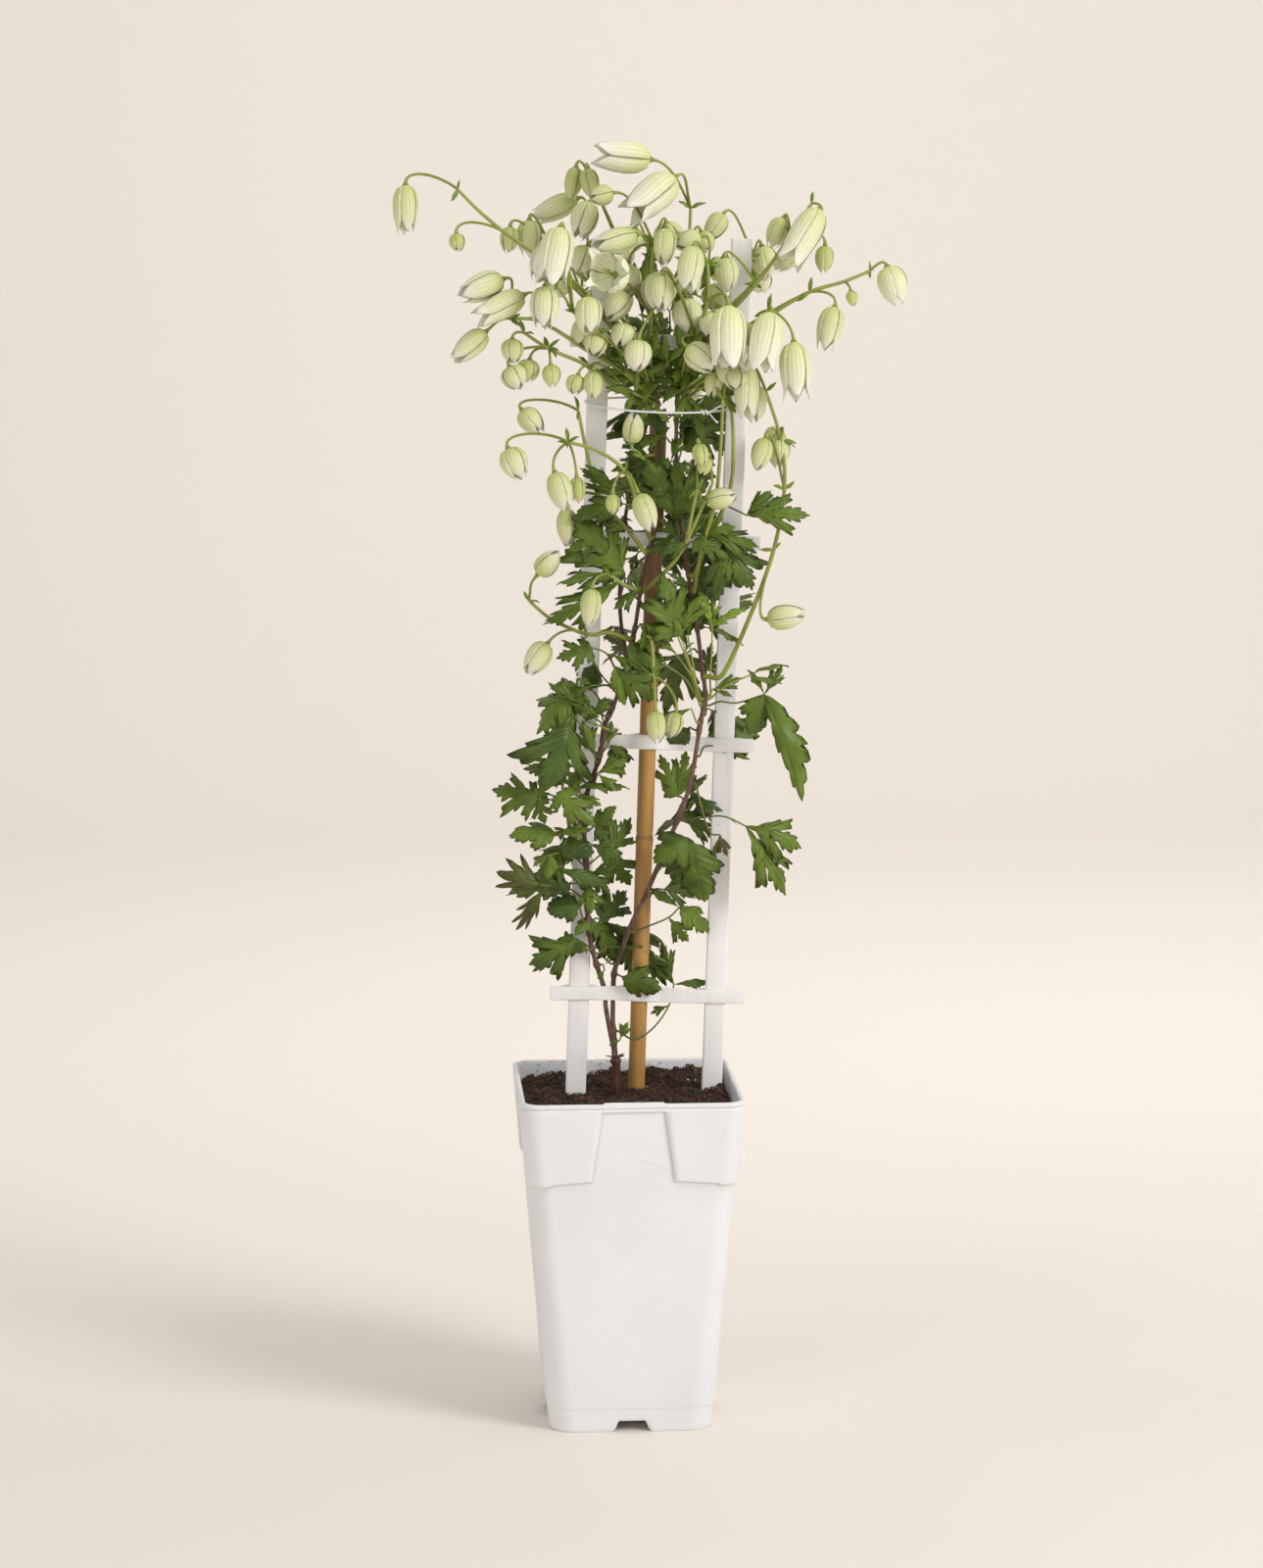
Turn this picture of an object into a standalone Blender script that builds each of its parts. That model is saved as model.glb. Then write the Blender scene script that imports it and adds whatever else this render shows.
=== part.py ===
"""Clematis in flower, tied to a two-slat trellis with a bamboo cane, in a square white pot.

Metres, +Z up, the front of the pot faces -Y. The origin is at the middle of the plant's
spread, on the surface that the pot stands on.
"""
from math import cos, pi, radians, sin, tan

import bmesh
import bpy
import numpy as np
from mathutils import Matrix, Vector

MM = 0.001

# The whole plant leans out to the right of its pot, so the pot stands left of the origin.
POT_PLACE = Vector((-14, 0, 0)) * MM
# Clearance between pieces that only touch.
GAP = 0.3

# Pot, in millimetres.
POT_HEIGHT = 200
RIM_HALF = 65
FOOT_HALF = 48
RIM_CORNER = 11
FOOT_CORNER = 15
WALL = 1.6
FLOOR_TOP = 10
FLOOR_UNDER = 8
LIP_HEIGHT = 2.6
LIP_PROUD = 1.0
PANEL_PROUD = 1.2
PANEL_TOP = POT_HEIGHT - LIP_HEIGHT + 0.5
PANEL_BOTTOM = 157
PANEL_CORNER_DROP = 6
WINDOW_TOP = 195
WINDOW_TOP_HALF = 18.5
WINDOW_BOTTOM_HALF = 24.5
TAB_HALF = 17.7
TAB_HEIGHT = 1.0
FOOT_NOTCH_HALF = 10.5
FOOT_NOTCH_TOP_HALF = 8
FOOT_NOTCH_HEIGHT = 6.5
DRAIN_RADIUS = 4.5
DRAIN_OFFSET = 26

# Soil.
SOIL_LEVEL = 192
SOIL_EDGE = 188
SOIL_ROUGHNESS = 1.1

# Trellis and cane. They all lean to the right, and stand a little behind the pot's middle.
LEAN = radians(1.85)
TRELLIS_DEPTH = 5
SLAT_WIDTH = 12
SLAT_THICKNESS = 4
SLAT_FOOT = 100
SLAT_TOP = 695
SLAT_POINT = 22
SLAT_PLACES = {"upright_left": -30, "upright_right": 51}
SLAT_PLACE_HEIGHT = 193
CANE_RADIUS = 5.3
CANE_PLACE = 6
CANE_FOOT = 80
CANE_TOP = 590
CANE_JOINTS = (165, 345, 500)
RUNG_HEIGHT = 8.5
RUNG_PLY = 1.5
RUNG_REACH = 17
RUNG_LEVELS = (252, 402, 521, 636)

# Tie: a thin plastic-covered wire round the trellis and the shoots.
TIE_RADIUS = 0.6
TIE_LEVEL = 600
TIE_HALF_ACROSS = 47.7
TIE_HALF_DEEP = 33
TIE_DIP = 3

# Plant.
STUMP_RADIUS = 3.0
SHOOT_RADIUS = 1.7
SHOOT_END_RADIUS = 1.1
PETIOLE_RADIUS = 0.75
FLOWER_STEM_RADIUS = 1.0
PEDICEL_RADIUS = 0.75
BLADE_THICKNESS = 0.7
CURVE_STEP = 5
CURVE_TOLERANCE = 0.8
PEDICEL_STEPS = 12
RIB_RUN = 1.5
RIBBED_OVER = 27
FLUTED_OVER = 12
NECK_SUNK = 1.5

# The plant was set out as it is seen from in front: (across, up, depth), where across and up are
# measured on the pot's middle plane, and depth is how far behind that plane the point lies.
EYE = Vector((-170, -2494, 737))

FRONT = Vector((-0.1, -1.0, 0.45))
SKY = Vector((0.0, -0.55, 1.0))

# Woody shoots, from the soil up.
SHOOTS = {
    "a": [
        (-6, 172, -2), (-6, 195, -2), (-6, 207, -2), (-7, 216, -2), (-12, 243, 4), (-13, 255, 6.5),
        (-17, 268, 3), (-21, 283, -2), (-23, 302, -3), (-23, 320, -3), (-25, 349, -3), (-24, 369, -4),
        (-19, 384, -5), (-15, 398, -6), (-12, 414, -6), (-3, 436, -6), (4, 465, -7), (7, 483, -7),
        (10, 503, -6), (15, 521, -6), (18, 544, -5), (20, 567, -4), (19, 590, -3), (16, 610, -3),
        (13, 629, -3),
    ],
    "b": [
        (-6, 211, -2), (-8, 231, 3), (-8, 255, 6.5), (-7, 267, 4), (-3, 278, -1), (1, 290, -5),
        (6, 301, -7), (12, 313, -8), (19, 330, -8), (31, 359, -8), (38, 380, -8), (43, 412, -8),
        (46, 430, -8), (44, 447, -8), (42, 464, -8), (39, 483, -8), (36, 501, -7), (33, 521, -7),
        (31, 544, -6), (29, 567, -5), (29, 590, -4), (30, 610, -4), (33, 628, -4),
    ],
    "c": [
        (0, 452, -6), (-3, 470, 2), (-4, 487, 9), (-3, 507, 12), (-1, 533, 13), (5, 561, 14),
        (12, 590, 14), (18, 612, 13), (23, 634, 12),
    ],
}

# Leaves: name, shoot, height of the leaf's foot on the shoot, stalk, and the blades. A blade is
# the stalk point that it grows from (0 is the shoot itself), its tip, its width for a length of
# one, and the side that its face is turned to.
LEAVES = [
    ("leaf_low_left", "a", 280, [(-29, 286, -9)], [
        (1, (-54, 270, -14), 0.85, FRONT),
    ]),
    ("leaf_fan_left", "a", 356, [(-33, 364, -9), (-45, 372, -14), (-52, 369, -17)], [
        (3, (-76, 377, -20), 1, FRONT),
        (3, (-48, 355, -18), 0.9, FRONT),
    ]),
    ("leaf_bronze_left", "a", 311, [(-36, 317, -18), (-49, 318, -23)], [
        (2, (-73, 327, -28), 1.05, FRONT),
        (2, (-62, 291, -22), 0.5, FRONT),
    ]),
    ("leaf_mid_left", "a", 336, [(-31, 342, -9), (-41, 348, -15)], [
        (2, (-67, 350, -18), 0.8, FRONT),
        (1, (-54, 324, -16), 0.85, FRONT),
    ]),
    ("leaf_round_left", "a", 297, [(-28, 306, -8)], [
        (1, (-46, 304, -9), 1.05, FRONT),
    ]),
    ("leaf_inner_low", "a", 292, [(-17, 295, 5)], [
        (1, (-1, 314, 12), 0.85, FRONT),
        (1, (-7, 270, 8), 0.6, FRONT),
    ]),
    ("leaf_inner_mid", "a", 331, [(-13, 338, 8)], [
        (1, (4, 354, 8), 0.9, FRONT),
        (1, (1, 318, 12), 0.9, FRONT),
    ]),
    ("leaf_big_blue", "a", 396, [(-24, 408, -20), (-32, 420, -32)], [
        (2, (-44, 376, -38), 1, FRONT),
    ]),
    ("leaf_seven_lobes", "a", 423, [(-20, 433, -12), (-27, 435, -13)], [
        (2, (-54, 412, -14), 1, FRONT),
    ]),
    ("leaf_level_left", "a", 371, [(-33, 374, -11)], [
        (1, (-1, 378, -14), 0.45, SKY),
    ]),
    ("leaf_pair_mid", "a", 441, [(-11, 454, -15), (-20, 458, -18)], [
        (1, (9, 447, -22), 0.75, SKY),
        (2, (-39, 451, -22), 0.9, FRONT),
    ]),
    ("leaf_big_dark", "a", 498, [(-2, 499, -17)], [
        (1, (-27, 531, -26), 0.95, FRONT),
        (1, (-42, 470, -30), 0.42, FRONT),
    ]),
    ("leaf_upper_left", "a", 539, [(6, 541, -12), (-2, 542, -15)], [
        (2, (-23, 564, -18), 0.5, FRONT),
        (2, (-31, 537, -24), 0.5, FRONT),
    ]),
    ("leaf_blue_green", "b", 524, [(29, 532, -13)], [
        (1, (14, 566, -20), 0.95, FRONT),
        (1, (47, 558, -10), 0.75, FRONT),
    ]),
    ("leaf_right_upper", "b", 550, [(55, 542, -14), (70, 535, -22)], [
        (2, (103, 538, -32), 0.65, FRONT),
    ]),
    ("leaf_right_dark", "b", 507, [(47, 518, -12), (56, 522, -13)], [
        (2, (71, 492, -18), 1, FRONT),
    ]),
    ("leaf_fan_stalks", "b", 426, [(37, 446, -15), (30, 464, -17)], [
        (2, (20, 499, -24), 0.8, FRONT),
        (2, (41, 489, -20), 0.6, FRONT),
    ]),
    ("leaf_node_left", "b", 415, [(38, 422, -15)], [
        (1, (15, 411, -20), 0.55, FRONT),
    ]),
    ("leaf_pendants", "b", 425, [(55, 426, -13), (65, 425, -16), (81, 430, -20)], [
        (3, (74, 407, -22), 0.9, FRONT),
        (3, (105, 373, -34), 0.45, FRONT),
        (3, (91, 446, -22), 0.5, FRONT),
    ]),
    ("leaf_arched_right", "b", 357, [(42, 357, -10), (57, 358, -16), (70, 352, -18)], [
        (3, (102, 342, -24), 0.75, FRONT),
        (3, (93, 312, -22), 0.6, FRONT),
    ]),
    ("leaf_lower_mid", "b", 339, [(37, 345, -20)], [
        (1, (17, 333, -26), 1.1, FRONT),
        (1, (42, 308, -24), 0.85, FRONT),
    ]),
    ("leaf_back_right", "b", 365, [(33, 369, 2), (30, 370, 8)], [
        (2, (20, 394, 12), 0.55, FRONT),
        (2, (37, 396, 14), 0.55, FRONT),
    ]),
    ("leaf_low_right", "b", 291, [(13, 293, -10), (25, 298, -8), (31, 304, -8)], [
        (2, (36, 284, -12), 0.9, FRONT),
        (3, (49, 291, -12), 0.85, FRONT),
        (3, (16, 316, -9), 0.4, FRONT),
    ]),
    ("leaf_over_rung", "b", 264, [(-3, 263, -4)], [
        (1, (19, 254, -7), 0.85, FRONT),
    ]),
    ("leaf_seedling", "b", 230, [(5, 225, -8), (16, 232, -6), (25, 245, 5), (28, 258, 9)], [
        (4, (19, 281, 12), 0.5, FRONT),
        (4, (48, 258, 8), 0.4, FRONT),
        (4, (14, 270, 15), 0.4, FRONT),
        (3, (14, 241, 6), 0.5, FRONT),
    ]),
    ("leaf_crown_left", "c", 602, [(9, 615, 17), (0, 623, 19)], [
        (2, (-24, 644, 22), 0.45, FRONT),
        (1, (5, 642, 17), 0.5, FRONT),
    ]),
    ("leaf_crown_right", "b", 590, [(39, 596, -13)], [
        (1, (61, 613, -12), 0.6, FRONT),
        (1, (47, 578, -18), 0.4, FRONT),
    ]),
]

# Flowers: name, shoot, height on the shoot, stalk, and the blooms. A bloom is the stalk point
# that its own stalk grows from, its neck, its mouth and its width.
BLOOMS = [
    ("bloom_far_left", "a", 623, [(-3, 638, -8), (-27, 664, -14), (-48, 683, -16), (-68, 697, -18), (-84, 710, -20), (-97, 723, -20)], [
        (6, (-127, 726, -22), (-127, 699, -24), 15),
        (4, (-98, 698, -24), (-97, 688, -26), 9),
    ]),
    ("bloom_left_front", "a", 616, [(0, 628, -22), (-17, 642, -32), (-31, 653, -40)], [
        (3, (-38, 702, -48), (-44, 669, -52), 20),
        (3, (-47, 668, -48), (-48, 644, -52), 17),
        (2, (-22, 662, -42), (-22, 641, -46), 16),
    ]),
    ("bloom_left_back", "c", 623, [(0, 646, 24), (-22, 670, 30), (-42, 685, 32)], [
        (3, (-56, 706, 34), (-56, 685, 36), 15),
        (3, (-67, 702, 30), (-68, 687, 30), 11),
        (2, (-28, 718, 38), (-53, 707, 44), 15),
    ]),
    ("bloom_left_low", "a", 609, [(-5, 623, -14), (-28, 635, -20), (-51, 648, -24), (-67, 649, -26)], [
        (4, (-71, 672, -30), (-95, 663, -36), 17),
        (3, (-59, 663, -34), (-86, 649, -42), 16),
        (4, (-81, 642, -28), (-99, 626, -32), 15),
    ]),
    ("bloom_left_drop", "a", 602, [(-3, 610, -14), (-22, 622, -20), (-45, 632, -24), (-59, 641, -24)], [
        (4, (-66, 638, -26), (-66, 624, -27), 13),
        (3, (-68, 622, -28), (-62, 609, -30), 15),
        (3, (-44, 623, -26), (-43, 610, -27), 11),
        (2, (-28, 617, -24), (-31, 606, -25), 11),
        (1, (-19, 619, -26), (-19, 603, -28), 12),
    ]),
    ("bloom_top_left", "c", 634, [(9, 663, 20), (-4, 691, 24), (-16, 719, 26)], [
        (3, (-29, 736, 28), (-32, 718, 30), 11),
        (3, (-23, 735, 22), (-19, 718, 20), 11),
        (2, (-21, 716, 12), (-28, 696, 6), 16),
    ]),
    ("bloom_top", "b", 625, [(35, 652, -3), (36, 684, -1), (37, 712, 0)], [
        (3, (14, 740, 0), (-17, 743, -4), 20),
        (3, (28, 730, -12), (2, 709, -22), 22),
    ]),
    ("bloom_top_mid", "a", 627, [(14, 649, -12), (14, 672, -18), (16, 691, -20)], [
        (3, (6, 697, -22), (-18, 690, -28), 15),
        (3, (23, 701, -24), (21, 680, -28), 13),
        (1, (-7, 674, -32), (-13, 677, -50), 24),
    ]),
    ("bloom_front_mid", "b", 618, [(40, 638, -22), (47, 659, -34), (47, 680, -40)], [
        (3, (39, 691, -44), (35, 665, -48), 16),
        (2, (59, 657, -50), (59, 620, -54), 22),
        (1, (21, 674, -36), (20, 654, -40), 15),
    ]),
    ("bloom_right_up", "c", 628, [(41, 651, 20), (58, 673, 26), (73, 684, 28)], [
        (3, (56, 709, 24), (47, 695, 20), 13),
        (3, (78, 691, 40), (82, 672, 44), 16),
    ]),
    ("bloom_right_arm", "b", 622, [(51, 643, -8), (75, 669, -10), (95, 697, -10), (107, 715, -12)], [
        (4, (112, 712, -14), (94, 681, -22), 19),
        (3, (91, 707, -4), (84, 690, -2), 13),
        (2, (99, 690, 6), (86, 677, 10), 14),
        (3, (115, 691, 0), (114, 675, 2), 11),
        (2, (57, 684, -12), (59, 665, -15), 15),
    ]),
    ("bloom_far_right", "b", 614, [(60, 635, -16), (85, 652, -20), (106, 664, -22), (126, 670, -24), (141, 676, -25)], [
        (5, (151, 679, -26), (158, 658, -28), 18),
        (3, (121, 656, -26), (115, 631, -28), 15),
        (4, (130, 665, -26), (132, 656, -27), 7),
    ]),
    ("bloom_right_front", "b", 608, [(54, 622, -24), (71, 639, -34), (82, 654, -42)], [
        (3, (84, 653, -50), (77, 619, -56), 20),
        (3, (97, 636, -42), (99, 603, -44), 18),
    ]),
    ("bloom_right_shoot", "b", 442, [(57, 443, -14), (73, 478, -16), (86, 515, -18), (92, 550, -18), (90, 578, -18), (81, 607, -20)], [
        (3, (82, 474, -20), (104, 477, -24), 15),
        (4, (81, 580, -24), (76, 562, -26), 13),
        (5, (90, 585, -14), (82, 575, -10), 13),
        (6, (70, 622, -30), (70, 593, -32), 16),
    ]),
    ("bloom_small_right", "b", 518, [(36, 525, -24), (41, 550, -30)], [
        (2, (47, 543, -30), (64, 547, -34), 13),
        (2, (42, 577, -36), (44, 564, -38), 9),
    ]),
    ("bloom_lower_left", "a", 523, [(7, 539, -22), (-1, 561, -28), (-17, 573, -30), (-34, 578, -32)], [
        (4, (-69, 575, -34), (-61, 557, -36), 16),
        (4, (-42, 561, -36), (-35, 539, -38), 15),
        (4, (-29, 558, -30), (-28, 543, -30), 9),
        (2, (7, 548, -38), (15, 527, -40), 14),
        (2, (-8, 548, -34), (-8, 536, -35), 8),
    ]),
    ("bloom_mid_left", "a", 515, [(3, 524, -12), (-16, 547, -8), (-24, 576, -10), (-28, 596, -14)], [
        (4, (-61, 597, -18), (-50, 584, -22), 14),
        (2, (-35, 540, -12), (-34, 518, -14), 13),
    ]),
    ("bloom_low_left", "a", 464, [(-10, 467, -12), (-23, 466, -12), (-44, 475, -14), (-57, 486, -16)], [
        (4, (-52, 501, -18), (-40, 514, -20), 14),
        (2, (-46, 461, -20), (-58, 444, -24), 15),
    ]),
    ("bloom_hang_left", "a", 493, [(0, 494, -24), (-10, 501, -34)], [
        (2, (-20, 493, -42), (-22, 471, -44), 13),
    ]),
    ("bloom_hang_mid", "a", 461, [(14, 464, -20), (16, 441, -28)], [
        (2, (17, 421, -30), (18, 402, -31), 12),
    ]),
    ("bloom_bud_mid", "a", 563, [(9, 569, -18)], [
        (1, (3, 577, -20), (5, 595, -22), 13),
    ]),
]

# Outline of a lobed leaf, half of it: how far up the rib, and the edge point's place up and out.
LOBED = [
    (0.00, 0.00, 0.03), (0.09, -0.08, 0.32), (0.19, 0.16, 0.19), (0.33, 0.34, 0.50),
    (0.46, 0.43, 0.18), (0.64, 0.72, 0.38), (0.80, 0.76, 0.13), (1.00, 1.00, 0.012),
]
# Outline of a narrow leaflet with two teeth a side.
NARROW = [
    (0.00, 0.00, 0.04), (0.26, 0.26, 0.42), (0.42, 0.44, 0.27), (0.62, 0.68, 0.48),
    (0.78, 0.78, 0.20), (1.00, 1.00, 0.012),
]
NARROW_BELOW = 0.7

# Bloom seen from its neck: for each ring, the share of the length and of the half width, first
# at the middle of a sepal and then at the seam between two.
BLOOM_RINGS = [
    ((0.00, 0.34), (0.00, 0.30)), ((0.17, 0.80), (0.17, 0.72)), ((0.54, 1.00), (0.52, 0.88)),
    ((1.00, 0.42), (0.84, 0.46)), ((0.78, 0.00), (0.78, 0.00)),
]


def seen(across, up, depth):
    """The point at this depth that lines up, from the eye, with (across, up) on the middle plane."""
    on_plane = Vector((across, 0, up))
    return EYE + (on_plane - EYE) * ((depth - EYE.y) / -EYE.y)


def smooth(points):
    """A curve through all the points (Catmull-Rom) in short steps, and where they lie in it."""
    points = [np.array(p, float) for p in points]
    path, marks = [points[0]], [0]
    for i in range(len(points) - 1):
        before = points[max(i - 1, 0)]
        a, b = points[i], points[i + 1]
        after = points[min(i + 2, len(points) - 1)]
        count = max(1, round(np.linalg.norm(b - a) / CURVE_STEP))
        for k in range(1, count + 1):
            t = k / count
            path.append(0.5 * (2 * a + (b - before) * t + (2 * before - 5 * a + 4 * b - after) * t**2
                               + (3 * a - before - 3 * b + after) * t**3))
        marks.append(len(path) - 1)
    return path, marks


def thin_out(path):
    """Leave out the points that lie nearly on the line between their neighbours."""
    path = [np.array(p, float) for p in path]
    if len(path) < 3:
        return path
    line = path[-1] - path[0]
    line /= np.linalg.norm(line)
    away = [np.linalg.norm(np.cross(p - path[0], line)) for p in path]
    far = int(np.argmax(away))
    if away[far] < CURVE_TOLERANCE:
        return [path[0], path[-1]]
    return thin_out(path[:far + 1])[:-1] + thin_out(path[far:])


def thin_between(path, marks):
    """Thin a path out, but keep the marked points."""
    thinned = [path[0]]
    for start, end in zip(marks, marks[1:]):
        thinned += thin_out(path[start:end + 1])[1:]
    return thinned


def material(name, color, roughness):
    mat = bpy.data.materials.new(name)
    mat.use_nodes = True
    shader = mat.node_tree.nodes["Principled BSDF"]
    shader.inputs["Base Color"].default_value = (*color, 1)
    shader.inputs["Roughness"].default_value = roughness
    mat.diffuse_color = (*color, 1)
    return mat


def finish_mesh(bm, name):
    """Turn a bmesh in millimetres into an object in metres, its faces pointing out."""
    bmesh.ops.scale(bm, vec=(MM, MM, MM), verts=bm.verts)
    bmesh.ops.recalc_face_normals(bm, faces=bm.faces)
    mesh = bpy.data.meshes.new(name)
    bm.to_mesh(mesh)
    bm.free()
    obj = bpy.data.objects.new(name, mesh)
    bpy.context.scene.collection.objects.link(obj)
    return obj


def loft(name, rings, is_hoop=False):
    """Closed body through rings of points; its ends are closed flat, or joined as a hoop."""
    bm = bmesh.new()
    loops = [[bm.verts.new(p) for p in ring] for ring in rings]
    count = len(loops[0])
    pairs = list(zip(loops, loops[1:]))
    if is_hoop:
        pairs.append((loops[-1], loops[0]))
    for low, high in pairs:
        for i in range(count):
            j = (i + 1) % count
            bm.faces.new((low[i], low[j], high[j], high[i]))
    if not is_hoop:
        bm.faces.new(loops[0][::-1])
        bm.faces.new(loops[-1])
    return finish_mesh(bm, name)


def rounded_square(half, corner, z, corner_drop=0.0, steps=2):
    """Points round a square with rounded corners; the corners may hang lower than the sides."""
    points = []
    for quarter in range(4):
        turn = Matrix.Rotation(quarter * pi / 2, 3, "Z")
        for k in range(steps + 1):
            angle = k / steps * pi / 2
            x = half - corner + corner * cos(angle)
            y = half - corner + corner * sin(angle)
            points.append(turn @ Vector((x, y, z - corner_drop)))
        points.append(turn @ Vector((0, half, z)))
    return points


def box(name, half_across, half_deep, low, high):
    bm = bmesh.new()
    bmesh.ops.create_cube(bm, size=1)
    size = (2 * half_across, 2 * half_deep, high - low)
    bmesh.ops.scale(bm, vec=size, verts=bm.verts)
    bmesh.ops.translate(bm, vec=(0, 0, (low + high) / 2), verts=bm.verts)
    return finish_mesh(bm, name)


def wedge(name, bottom_half, top_half, reach, low, high):
    """A long bar along Y whose section is a trapezium."""
    section = [(-bottom_half, low), (bottom_half, low), (top_half, high), (-top_half, high)]
    return loft(name, [[(x, y, z) for x, z in section] for y in (reach, -reach)])


def rod(name, radius, low, high, sides):
    bm = bmesh.new()
    bmesh.ops.create_cone(bm, cap_ends=True, segments=sides, radius1=radius, radius2=radius,
                          depth=high - low)
    bmesh.ops.translate(bm, vec=(0, 0, (low + high) / 2), verts=bm.verts)
    return finish_mesh(bm, name)


def tube(name, path, radii, roundness=0, is_hoop=False):
    """A closed tube along the path: a curve with a bevel, made a mesh and its caps welded."""
    curve = bpy.data.curves.new(name, "CURVE")
    curve.dimensions = "3D"
    curve.bevel_depth = MM
    curve.bevel_resolution = roundness
    curve.use_fill_caps = True
    spline = curve.splines.new("POLY")
    spline.use_cyclic_u = is_hoop
    spline.points.add(len(path) - 1)
    for point, place, radius in zip(spline.points, path, radii):
        point.co = (*(Vector(place) * MM), 1)
        point.radius = radius
    curve_object = bpy.data.objects.new(name + "_curve", curve)
    bpy.context.scene.collection.objects.link(curve_object)
    return made_mesh(curve_object, name)


def made_mesh(source, name, weld=True):
    """The evaluated mesh of an object as a new object, its caps welded; the source is removed."""
    bpy.context.view_layer.update()
    evaluated = source.evaluated_get(bpy.context.evaluated_depsgraph_get())
    mesh = bpy.data.meshes.new_from_object(evaluated)
    bm = bmesh.new()
    bm.from_mesh(mesh)
    if weld:
        bmesh.ops.remove_doubles(bm, verts=bm.verts, dist=0.002 * MM)
    bmesh.ops.recalc_face_normals(bm, faces=bm.faces)
    bm.to_mesh(mesh)
    bm.free()
    mesh.name = name
    obj = bpy.data.objects.new(name, mesh)
    obj.matrix_world = source.matrix_world
    bpy.context.scene.collection.objects.link(obj)
    bpy.data.objects.remove(source)
    return obj


def boolean(target, others, operation):
    """One Boolean with a collection of the others, applied; the others are removed."""
    tools = bpy.data.collections.new("tools_" + target.name)
    bpy.context.scene.collection.children.link(tools)
    for other in others:
        bpy.context.scene.collection.objects.unlink(other)
        tools.objects.link(other)
        other.hide_render = True
        other.display_type = "WIRE"
    step = target.modifiers.new(operation.lower(), "BOOLEAN")
    step.operation = operation
    step.operand_type = "COLLECTION"
    step.collection = tools
    step.solver = "EXACT"
    name = target.name
    target.name = name + "_before"
    result = made_mesh(target, name, weld=False)
    for other in others:
        bpy.data.objects.remove(other)
    bpy.data.collections.remove(tools)
    return result


def place(obj, mat, stand, collection):
    """Give a finished piece its material, hang it on the stand and file it."""
    obj.data.materials.clear()
    obj.data.materials.append(mat)
    obj.parent = stand
    bpy.context.scene.collection.objects.unlink(obj)
    collection.objects.link(obj)
    return obj


def pot_half(z):
    return FOOT_HALF + (RIM_HALF - LIP_PROUD - FOOT_HALF) * z / POT_HEIGHT


def pot_corner(z):
    return FOOT_CORNER + (RIM_CORNER - FOOT_CORNER) * z / POT_HEIGHT


def make_pot():
    """Tapered shell with a lip, a raised floor on a skirt, corner panels, a tab and notches."""
    lip_under = POT_HEIGHT - LIP_HEIGHT
    lip_round = 0.8

    def wall(z, inset=0.0):
        return rounded_square(pot_half(z) - inset, pot_corner(z) - inset, z)

    pot = loft("pot", [
        wall(FLOOR_UNDER, WALL), wall(0, WALL), wall(0), wall(lip_under),
        rounded_square(RIM_HALF, RIM_CORNER, lip_under + lip_round),
        rounded_square(RIM_HALF, RIM_CORNER, POT_HEIGHT - lip_round),
        rounded_square(RIM_HALF - lip_round, RIM_CORNER - lip_round, POT_HEIGHT),
        wall(POT_HEIGHT, WALL - LIP_PROUD), wall(lip_under, WALL), wall(FLOOR_TOP, WALL)])

    def panel(z, out, drop=0.0):
        return rounded_square(pot_half(z) + out, pot_corner(z) + out, z, drop)

    buried = -WALL / 2
    collar = loft("collar", [
        panel(PANEL_TOP, buried), panel(PANEL_BOTTOM, buried, PANEL_CORNER_DROP),
        panel(PANEL_BOTTOM, PANEL_PROUD, PANEL_CORNER_DROP), panel(PANEL_TOP, PANEL_PROUD)],
        is_hoop=True)
    window_foot = PANEL_BOTTOM - 10
    spread = (WINDOW_BOTTOM_HALF - WINDOW_TOP_HALF) / (WINDOW_TOP - PANEL_BOTTOM)
    window_half = WINDOW_BOTTOM_HALF + 10 * spread
    windows = [wedge("window", window_half, WINDOW_TOP_HALF, 2 * RIM_HALF, window_foot, WINDOW_TOP)
               for _ in range(2)]
    windows[1].rotation_euler.z = pi / 2
    collar = boolean(collar, windows, "DIFFERENCE")
    tab = box("tab", TAB_HALF, 1.1, POT_HEIGHT - LIP_HEIGHT, POT_HEIGHT + TAB_HEIGHT)
    tab.location.y = -(RIM_HALF - 1.5) * MM
    pot = boolean(pot, [collar, tab], "UNION")

    cutters = [wedge("notch", FOOT_NOTCH_HALF + 0.4, FOOT_NOTCH_TOP_HALF, 2 * RIM_HALF, -1,
                     FOOT_NOTCH_HEIGHT) for _ in range(2)]
    cutters[1].rotation_euler.z = pi / 2
    for x in (-DRAIN_OFFSET, DRAIN_OFFSET):
        for y in (-DRAIN_OFFSET, DRAIN_OFFSET):
            drain = rod("drain", DRAIN_RADIUS, FLOOR_UNDER - 1, FLOOR_TOP + 1, 8)
            drain.location = (x * MM, y * MM, 0)
            cutters.append(drain)
    return boolean(pot, cutters, "DIFFERENCE")


def soil_height(x, y):
    """Lumpy surface, a little higher towards the back right."""
    lumps = sin(x / 7.3 + 1.1) * cos(y / 9.1) + 0.8 * sin(x / 4.1 - y / 6.3) + 0.6 * cos(y / 3.7)
    return SOIL_LEVEL + SOIL_ROUGHNESS * lumps + 0.012 * x + 0.025 * y


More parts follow.
